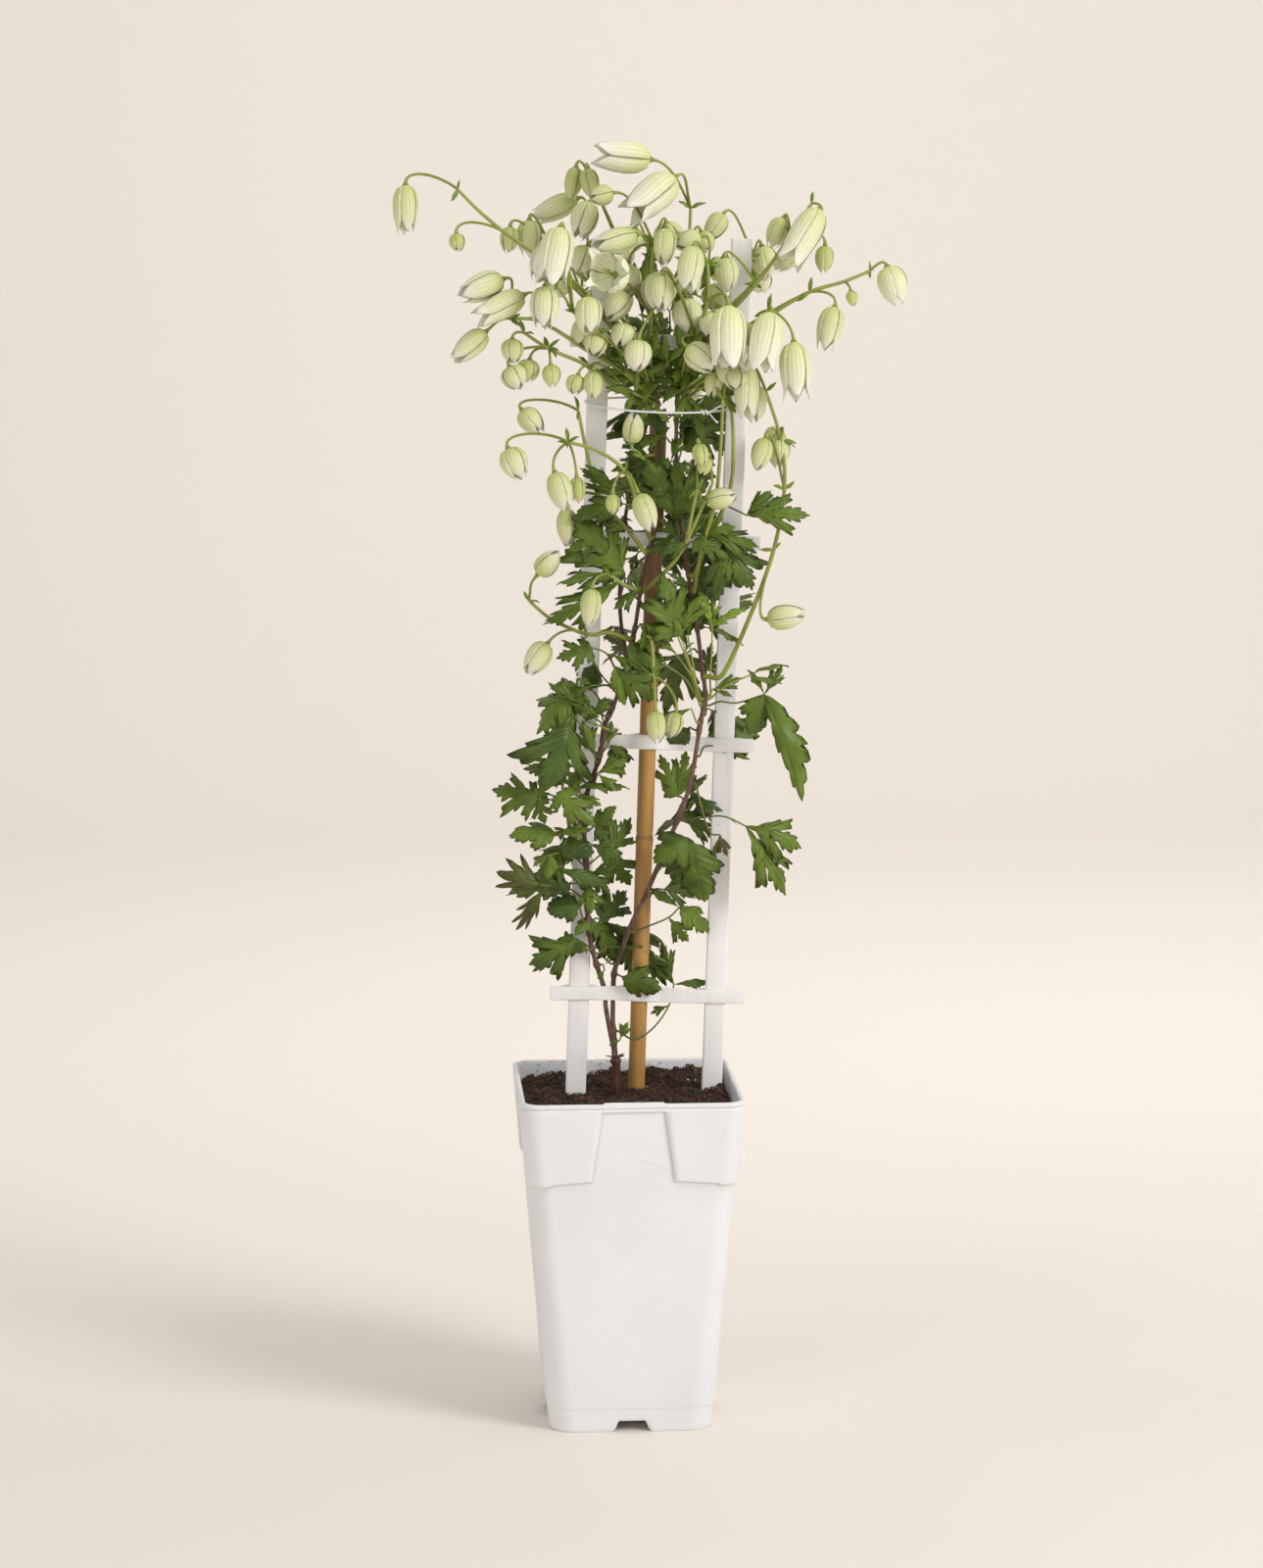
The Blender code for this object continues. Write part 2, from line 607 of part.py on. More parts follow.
def make_soil(members):
    """The filling of the pot, with plain holes for what stands in it."""
    def ring(z, share):
        inset = WALL + GAP
        half = (pot_half(z) - inset) * share
        return rounded_square(half, (pot_corner(z) - inset) * share, z)

    rings = [ring(FLOOR_TOP + GAP, 1), ring(SOIL_EDGE, 1)]
    for share in (0.88, 0.68, 0.48, 0.28, 0.12):
        rings.append([Vector((x, y, soil_height(x, y))) for x, y, _ in ring(SOIL_EDGE, share)])
    return boolean(loft("soil", rings), members, "DIFFERENCE")


def lean_frame(obj, across, height):
    """Stand a trellis piece at its place; its own z runs up along the lean."""
    obj.location = Vector((across, TRELLIS_DEPTH, height)) * MM
    obj.rotation_euler.y = LEAN
    return obj


def make_slat(name, across, grow=0.0):
    """Flat bar with chamfered edges and a pointed foot."""
    chamfer = 1.0

    def section(z, width, thickness):
        x, y = width / 2 + grow, thickness / 2 + grow
        return [(x, chamfer - y, z), (x, y - chamfer, z), (x - chamfer, y, z), (chamfer - x, y, z),
                (-x, y - chamfer, z), (-x, chamfer - y, z), (chamfer - x, -y, z),
                (x - chamfer, -y, z)]

    foot = SLAT_FOOT - SLAT_PLACE_HEIGHT
    slat = loft(name, [
        section(foot - grow, 4, SLAT_THICKNESS), section(foot + SLAT_POINT, SLAT_WIDTH, SLAT_THICKNESS),
        section(SLAT_TOP - SLAT_PLACE_HEIGHT, SLAT_WIDTH, SLAT_THICKNESS)])
    return lean_frame(slat, across, SLAT_PLACE_HEIGHT)


def make_cane(grow=0.0):
    """Bamboo: a straight rod, a little swollen at its joints."""
    def section(z, radius):
        return [(radius * cos(k * pi / 5), radius * sin(k * pi / 5), z) for k in range(10)]

    slim = CANE_RADIUS * 0.94
    heights = [(CANE_FOOT, slim)]
    for joint in CANE_JOINTS:
        heights += [(joint - 7, slim), (joint, CANE_RADIUS), (joint + 7, slim)]
    heights.append((CANE_TOP, slim))
    if grow:
        widest = (CANE_RADIUS + grow) / cos(pi / 10)
        heights = [(CANE_FOOT - grow, widest), (SOIL_LEVEL + 20, widest)]
    rings = [section(z - SLAT_PLACE_HEIGHT, radius) for z, radius in heights]
    return lean_frame(loft("cane", rings), CANE_PLACE, SLAT_PLACE_HEIGHT)


def swell(x, centre, half, fall):
    """One over the middle of a member, easing to nothing past its sides."""
    past = abs(x - centre) - half
    if past <= 0:
        return 1.0
    return 0.5 + 0.5 * cos(pi * min(past / fall, 1))


def make_rung(name, level):
    """Band that runs in front of the members and closes round each of them in a pocket."""
    slat_half = SLAT_THICKNESS / 2 + GAP + RUNG_PLY
    cane_half = CANE_RADIUS + GAP + RUNG_PLY
    ply_front = -(slat_half - 0.05)
    members = [(across, slat_half, SLAT_WIDTH / 2 + GAP + RUNG_PLY, 4)
               for across in SLAT_PLACES.values()]
    has_cane = level < CANE_TOP
    if has_cane:
        members.insert(1, (CANE_PLACE, cane_half, 3, 10))

    def front(x):
        return ply_front - sum(swell(x, at, half, fall) * (deep + ply_front)
                               for at, deep, half, fall in members)

    def back(x):
        return ply_front + RUNG_PLY + sum(
            swell(x, at, half, fall) * (deep - ply_front - RUNG_PLY)
            for at, deep, half, fall in members)

    stations = [members[0][0] - RUNG_REACH]
    for at, _, half, fall in members:
        steps = (0, 0.5, 1) if fall > half else (0, 1)
        stations += [at - half - fall * step for step in reversed(steps)]
        stations += [at + half + fall * step for step in steps]
    stations.append(members[-1][0] + RUNG_REACH)
    outlines = [[(x, front(x)) for x in stations] + [(x, back(x)) for x in stations[::-1]]]
    pocket_x, pocket_y = SLAT_WIDTH / 2 + GAP, SLAT_THICKNESS / 2 + GAP
    for at in SLAT_PLACES.values():
        outlines.append([(at + sx * pocket_x, sy * pocket_y)
                         for sx, sy in ((-1, -1), (1, -1), (1, 1), (-1, 1))])
    bore = (CANE_RADIUS + GAP) / cos(pi / 10)
    if has_cane:
        outlines.append([(CANE_PLACE + bore * cos(k * pi / 5), bore * sin(k * pi / 5))
                         for k in range(10)])

    curve = bpy.data.curves.new(name, "CURVE")
    curve.dimensions = "2D"
    curve.fill_mode = "BOTH"
    curve.extrude = RUNG_HEIGHT / 2 * MM
    for outline in outlines:
        spline = curve.splines.new("POLY")
        spline.points.add(len(outline) - 1)
        spline.use_cyclic_u = True
        for point, (x, y) in zip(spline.points, outline):
            point.co = (x * MM, y * MM, 0, 1)
    rung = bpy.data.objects.new(name + "_curve", curve)
    bpy.context.scene.collection.objects.link(rung)
    lean_frame(rung, (level - SLAT_PLACE_HEIGHT) * tan(LEAN), level)
    return made_mesh(rung, name)


def make_tie():
    """Wire ring just outside both slats, a little lower in front."""
    middle = sum(SLAT_PLACES.values()) / 2 + (TIE_LEVEL - SLAT_PLACE_HEIGHT) * tan(LEAN)
    path = []
    count = 20
    for k in range(count):
        angle = 2 * pi * k / count
        path.append((middle + TIE_HALF_ACROSS * cos(angle), TRELLIS_DEPTH + TIE_HALF_DEEP * sin(angle),
                     TIE_LEVEL + TIE_DIP * sin(angle)))
    return tube("tie_ring", path, [TIE_RADIUS] * count, is_hoop=True)


def shoot_radius(z):
    """The stump is thick up to its first knuckle; above it each shoot tapers slowly."""
    knuckle = 214
    if z < knuckle:
        return STUMP_RADIUS
    return SHOOT_RADIUS + (SHOOT_END_RADIUS - SHOOT_RADIUS) * (z - knuckle) / (SLAT_TOP - knuckle)


def make_shoots():
    """The woody shoots as one body, and the path of each for what grows from it."""
    paths = {name: thin_out(smooth([seen(*p) for p in points])[0])
             for name, points in SHOOTS.items()}
    tubes = [tube("shoot_" + name, path, [shoot_radius(p[2]) for p in path], roundness=1)
             for name, path in paths.items()]
    vine = boolean(tubes[0], tubes[1:], "UNION")
    vine.name = "vine_shoots"
    return vine, paths


def start_on(path, height, towards):
    """Where a stalk leaves a shoot at this height: just clear of its side, facing outwards."""
    height = min(height, path[-1][2] - 1)
    for low, high in zip(path, path[1:]):
        if low[2] <= height <= high[2]:
            share = (height - low[2]) / (high[2] - low[2])
            centre = Vector(low + (high - low) * share)
            outwards = Vector((towards[0] - centre.x, towards[1] - centre.y, 0)).normalized()
            side = centre + outwards * (shoot_radius(height) + GAP + 0.1)
            return [side, side + outwards * 2]
    raise ValueError("no shoot at this height")


def make_blade(base, tip, width, facing):
    """A thin arched leaf with a cut edge, from its base to its tip."""
    along = tip - base
    length = along.length
    is_small = length < RIBBED_OVER
    rows = NARROW if is_small or width < NARROW_BELOW else LOBED
    along.normalize()
    normal = (facing - along * facing.dot(along)).normalized()
    across = normal.cross(along)
    bm = bmesh.new()
    bmesh.ops.create_grid(bm, x_segments=1 if is_small else 2, y_segments=len(rows) - 1, size=1)
    for vert in bm.verts:
        side = round(vert.co.x)
        rib, edge_up, edge_out = rows[round((vert.co.y + 1) / 2 * (len(rows) - 1))]
        up = edge_up if side else rib
        out = side * edge_out * width
        lift = 0.32 * up * (1 - up) - 0.30 * abs(out) + 0.05 * side * sin(9 * up)
        vert.co = base + (along * up + across * out + normal * lift) * length
    bmesh.ops.triangulate(bm, faces=bm.faces)
    blade = finish_mesh(bm, "blade")
    thick = blade.modifiers.new("thickness", "SOLIDIFY")
    thick.thickness = BLADE_THICKNESS * MM
    thick.offset = 0
    return made_mesh(blade, "blade")


def make_bloom(neck, mouth, width):
    """A nodding bell: four sepals joined in a fluted body, their tips parting at the mouth."""
    axis = mouth - neck
    length = axis.length
    turn = axis.to_track_quat("Z", "Y").to_matrix()
    bm = bmesh.new()
    sides = 8 if width > FLUTED_OVER else 6
    bmesh.ops.create_uvsphere(bm, u_segments=sides, v_segments=len(BLOOM_RINGS), radius=1)
    top = max(bm.verts, key=lambda vert: vert.co.z)
    bmesh.ops.dissolve_verts(bm, verts=[top])
    for vert in bm.verts:
        down = 0.5 - np.arcsin(max(-1, min(1, vert.co.z))) / pi
        ring = round(down * len(BLOOM_RINGS)) - 1
        angle = np.arctan2(vert.co.y, vert.co.x)
        is_seam = round(angle / (2 * pi / sides)) % 2
        along, out = BLOOM_RINGS[ring][is_seam]
        out *= width / 2
        vert.co = neck + turn @ Vector((out * cos(angle), out * sin(angle), along * length))
    return finish_mesh(bm, "bloom")


def make_stalk(path, radius):
    """A stalk that thins to seven tenths at its end."""
    thin = 0.7
    radii = [radius * (1 - (1 - thin) * k / (len(path) - 1)) for k in range(len(path))]
    return tube("stalk", path, radii)


def grow_from(paths, shoot, height, stalk):
    """The stalk's path from the shoot, and its own points: 0 is the shoot, then as listed."""
    points = [seen(*p) for p in stalk]
    path, marks = smooth(start_on(paths[shoot], height, points[0]) + points)
    joints = [Vector(path[marks[0]])] + [Vector(path[m]) for m in marks[2:]]
    return thin_between(path, [0] + marks[2:]), joints


def make_leaf(paths, name, shoot, height, stalk, blades):
    """A stalk with its blades; the stalk runs on a little way as the rib of the last one."""
    path, joints = grow_from(paths, shoot, height, stalk)
    pieces = [make_blade(joints[joint], seen(*tip), width, facing)
              for joint, tip, width, facing in blades]
    last_tip = max(blades, key=lambda blade: blade[0])[1]
    rib = (seen(*last_tip) - joints[-1]).normalized() * RIB_RUN
    path = path + [np.array(joints[-1] + rib)]
    leaf = boolean(make_stalk(path, PETIOLE_RADIUS), pieces, "UNION")
    leaf.name = name
    return leaf


def make_spray(paths, name, shoot, height, stalk, blooms):
    """A flower stem with its blooms, each on a thin stalk that arches over into its neck."""
    path, joints = grow_from(paths, shoot, height, stalk)
    pieces = []
    for joint, neck, mouth, width in blooms:
        start, neck, mouth = joints[joint], seen(*neck), seen(*mouth)
        axis = (mouth - neck).normalized()
        reach = (neck - start).length
        rise = Vector((0, 0, 0.25 * reach))
        bend = neck - axis * min(10, 0.5 * reach)
        ends = [start, start + (neck - start) * 0.35 + rise, bend, neck]
        arc = thin_out([bezier(ends, k / PEDICEL_STEPS) for k in range(PEDICEL_STEPS + 1)])
        arc.append(neck + axis * NECK_SUNK)
        pieces.append(tube("pedicel", arc, [PEDICEL_RADIUS] * len(arc)))
        pieces.append(make_bloom(neck, mouth, width))
    spray = boolean(make_stalk(path, FLOWER_STEM_RADIUS), pieces, "UNION")
    spray.name = name
    return spray


def bezier(ends, t):
    a, b, c, d = ends
    s = 1 - t
    return a * s**3 + b * 3 * s**2 * t + c * 3 * s * t**2 + d * t**3


def build():
    for obj in list(bpy.data.objects):
        bpy.data.objects.remove(obj)
    plant = bpy.data.collections.new("clematis_in_pot")
    bpy.context.scene.collection.children.link(plant)
    stand = bpy.data.objects.new("stand", None)
    stand.location = POT_PLACE
    plant.objects.link(stand)

    white = material("white_plastic", (0.86, 0.86, 0.85), 0.42)
    peat = material("peat", (0.09, 0.05, 0.035), 0.95)
    bamboo = material("bamboo", (0.56, 0.36, 0.16), 0.5)
    bark = material("young_bark", (0.22, 0.12, 0.09), 0.65)
    green = material("leaf_green", (0.05, 0.15, 0.03), 0.45)
    pale = material("sepal_pale", (0.62, 0.72, 0.36), 0.5)

    place(make_pot(), white, stand, plant)
    stump = rod("stump_hole", (STUMP_RADIUS + GAP) / cos(pi / 12), SHOOTS["a"][0][1] - 0.5,
                SOIL_LEVEL + 20, 12)
    stump.location = Vector((SHOOTS["a"][0][0], SHOOTS["a"][0][2], 0)) * MM
    members = [make_slat(name + "_hole", across, GAP) for name, across in SLAT_PLACES.items()]
    place(make_soil(members + [make_cane(GAP), stump]), peat, stand, plant)
    for name, across in SLAT_PLACES.items():
        place(make_slat(name, across), white, stand, plant)
    place(make_cane(), bamboo, stand, plant)
    for number, level in enumerate(RUNG_LEVELS, 1):
        place(make_rung("rung_%d" % number, level), white, stand, plant)
    place(make_tie(), white, stand, plant)
    vine, paths = make_shoots()
    place(vine, bark, stand, plant)
    for leaf in LEAVES:
        place(make_leaf(paths, *leaf), green, stand, plant)
    for spray in BLOOMS:
        place(make_spray(paths, *spray), pale, stand, plant)


build()
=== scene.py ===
"""Looks of a clematis in flower, tied to a white slat trellis and a cane, in a tall white pot.

Lengths are in millimetres from the pot's own axis, with the front of the pot towards -Y, and
become metres, moved to the pot's place in the frame, when a surface is put into its mesh.
"""
from math import cos, pi, radians, sin, tan

import bmesh
import bpy
import numpy as np
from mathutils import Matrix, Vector


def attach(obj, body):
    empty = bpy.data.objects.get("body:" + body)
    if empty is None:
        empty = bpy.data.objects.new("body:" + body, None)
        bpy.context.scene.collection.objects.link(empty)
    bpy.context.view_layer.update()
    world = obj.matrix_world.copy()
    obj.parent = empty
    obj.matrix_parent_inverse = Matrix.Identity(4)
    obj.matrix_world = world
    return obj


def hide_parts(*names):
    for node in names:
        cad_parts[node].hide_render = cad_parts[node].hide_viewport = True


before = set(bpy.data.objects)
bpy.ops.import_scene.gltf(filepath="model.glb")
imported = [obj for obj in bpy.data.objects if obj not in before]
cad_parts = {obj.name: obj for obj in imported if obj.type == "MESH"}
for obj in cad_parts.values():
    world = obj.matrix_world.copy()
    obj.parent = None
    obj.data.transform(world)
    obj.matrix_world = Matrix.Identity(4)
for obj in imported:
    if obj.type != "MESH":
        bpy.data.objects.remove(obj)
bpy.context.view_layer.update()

MM = 0.001
BODY = "root"
rng = np.random.default_rng(7)

# The pot stands left of the origin, because the whole plant leans to the right.
POT_PLACE = np.array([-14.0, 0.0, 0.0])

# Camera, in millimetres from the pot's axis: 2.5 m away, a little left of the front.
EYE = np.array([-170.0, -2494.0, 737.0])
EYE_TURN = radians(-3.9)
EYE_DROP = radians(8.18)
LENS = 98.91
FRAME_SHIFT = 0.0031

# Pot.
POT_HEIGHT = 200
RIM_HALF = 65.3
FOOT_HALF = 48
WALL_TOP_HALF = 64
RIM_CORNER = 11
FOOT_CORNER = 15
WALL = 1.6
FLOOR_TOP = 10
FLOOR_UNDER = 8
LIP_HEIGHT = 2.6
MOULD_LINE = 13
MOULD_STEP = 0.45
STEP_TOP = 15.4
PANEL_PROUD = 1.6
PANEL_BOTTOM = 157
PANEL_CORNER_DROP = 6
WINDOW_TOP = 195
WINDOW_TOP_HALF = 18.5
WINDOW_BOTTOM_HALF = 24.5
TAB_HALF = 17.7
NOTCH_HALF = 10.5
NOTCH_TOP_HALF = 8
NOTCH_HEIGHT = 6.5
DRAIN_RADIUS = 4.5
DRAIN_OFFSET = 26
# Half the middle stretch of a side where it has no panels: inside, and on the lip.
INNER_FIELD = 20.0
LIP_FIELD = 18.0
# The columns in each stretch of a side, from corner to corner: half a corner's arc, a panel, the
# field between the panels, a panel, half an arc.
SIDE_STEPS = (7, 9, 26, 9, 7)
EDGE_SHARE = 0.014

# Soil. A heap is its place across and back, its rise and its reach.
SOIL_LEVEL = 192
SOIL_EDGE = 188
HEAPS = ((20, 47, 4.5, 8), (42, 43, 4, 8), (-6, 50, 2, 9))
CRUMBS = 2600
FIBRES = 620

# Trellis, cane and tie.
LEAN = radians(1.85)
TRELLIS_DEPTH = 5
SLAT_WIDTH = 12
SLAT_THICKNESS = 4
SLAT_FOOT = 100
SLAT_TOP = 695
SLAT_PLACES = {"upright_left": -30, "upright_right": 51}
SLAT_PLACE_HEIGHT = 193
CANE_RADIUS = 5.3
CANE_PLACE = 6
CANE_FOOT = 80
CANE_TOP = 590
CANE_JOINTS = (165, 345, 500)
RUNG_HEIGHT = 8.5
RUNG_PLY = 1.5
RUNG_REACH = 17
RUNG_LEVELS = (252, 402, 521, 636)
GAP = 0.3
TIE_RADIUS = 0.6
TIE_LEVEL = 600
TIE_HALF_ACROSS = 47.7
TIE_HALF_DEEP = 33
TIE_DIP = 3
TIE_POINTS = 240
KNOT_SHARE = 0.815

# Plant.
STUMP_RADIUS = 3.0
SHOOT_RADIUS = 1.7
SHOOT_END_RADIUS = 1.1
KNUCKLE = 214
PETIOLE_RADIUS = 0.75
FLOWER_STEM_RADIUS = 1.15
PEDICEL_RADIUS = 0.72
BLADE_THICKNESS = 0.5
SEPAL_THICKNESS = 0.35
# How much longer the blades are than their ribs in the table, which leave out the teeth.
LONGER = 1.06
# Blades shorter than this are plain fans, unless the table says otherwise.
SMALL_BLADE = 13
# How far apart the leaves stand behind a shoot.
BEHIND_SPACING = 21.0
# Flower stems that leave their shoot above this height carry young leaves and lesser stems.
CROWN_LEVEL = 590

# What the letters in the tables of leaves stand for: the way that a blade's face is turned.
FACES = {"F": np.array([-0.1, -1.0, 0.45]), "U": np.array([0.0, -0.55, 1.0]),
         "B": np.array([0.0, 1.0, 0.5])}


def rows(text):
    """The rows of a table, which end in semicolons: their colons part a head from lists of items."""
    found = []
    for row in text.split(";")[:-1]:
        head, *parts = [[[word if word[0].isalpha() else float(word) for word in item.split()]
                         for item in part.split(",")] for part in row.split(":")]
        found.append((*head[0], *parts))
    return found


# Woody shoots, from the soil up: across, height and depth of the points that each runs through.
SHOOTS = dict(rows("""
a: -6 172 -2, -6 195 -2, -6 207 -2, -7 216 -2, -12 243 4, -13 255 6.5, -17 268 3, -21 283 -2, -23 302
    -3, -23 320 -3, -25 349 -3, -24 369 -4, -19 384 -5, -15 398 -6, -12 414 -6, -3 436 -6, 4 465 -7, 7
    483 -7, 10 503 -6, 15 521 -6, 18 544 -5, 20 567 -4, 19 590 -3, 16 610 -3, 13 629 -3;
b: -6 211 -2, -8 231 3, -8 255 6.5, -7 267 4, -3 278 -1, 1 290 -5, 6 301 -7, 12 313 -8, 19 330 -8, 31
    359 -8, 38 380 -8, 43 412 -8, 46 430 -8, 44 447 -8, 42 464 -8, 39 483 -8, 36 501 -7, 33 521 -7, 31
    544 -6, 29 567 -5, 29 590 -4, 30 610 -4, 33 628 -4;
c: 0 452 -6, -3 470 2, -4 487 9, -3 507 12, -1 533 13, 5 561 14, 12 590 14, 18 612 13, 23 634 12;
"""))

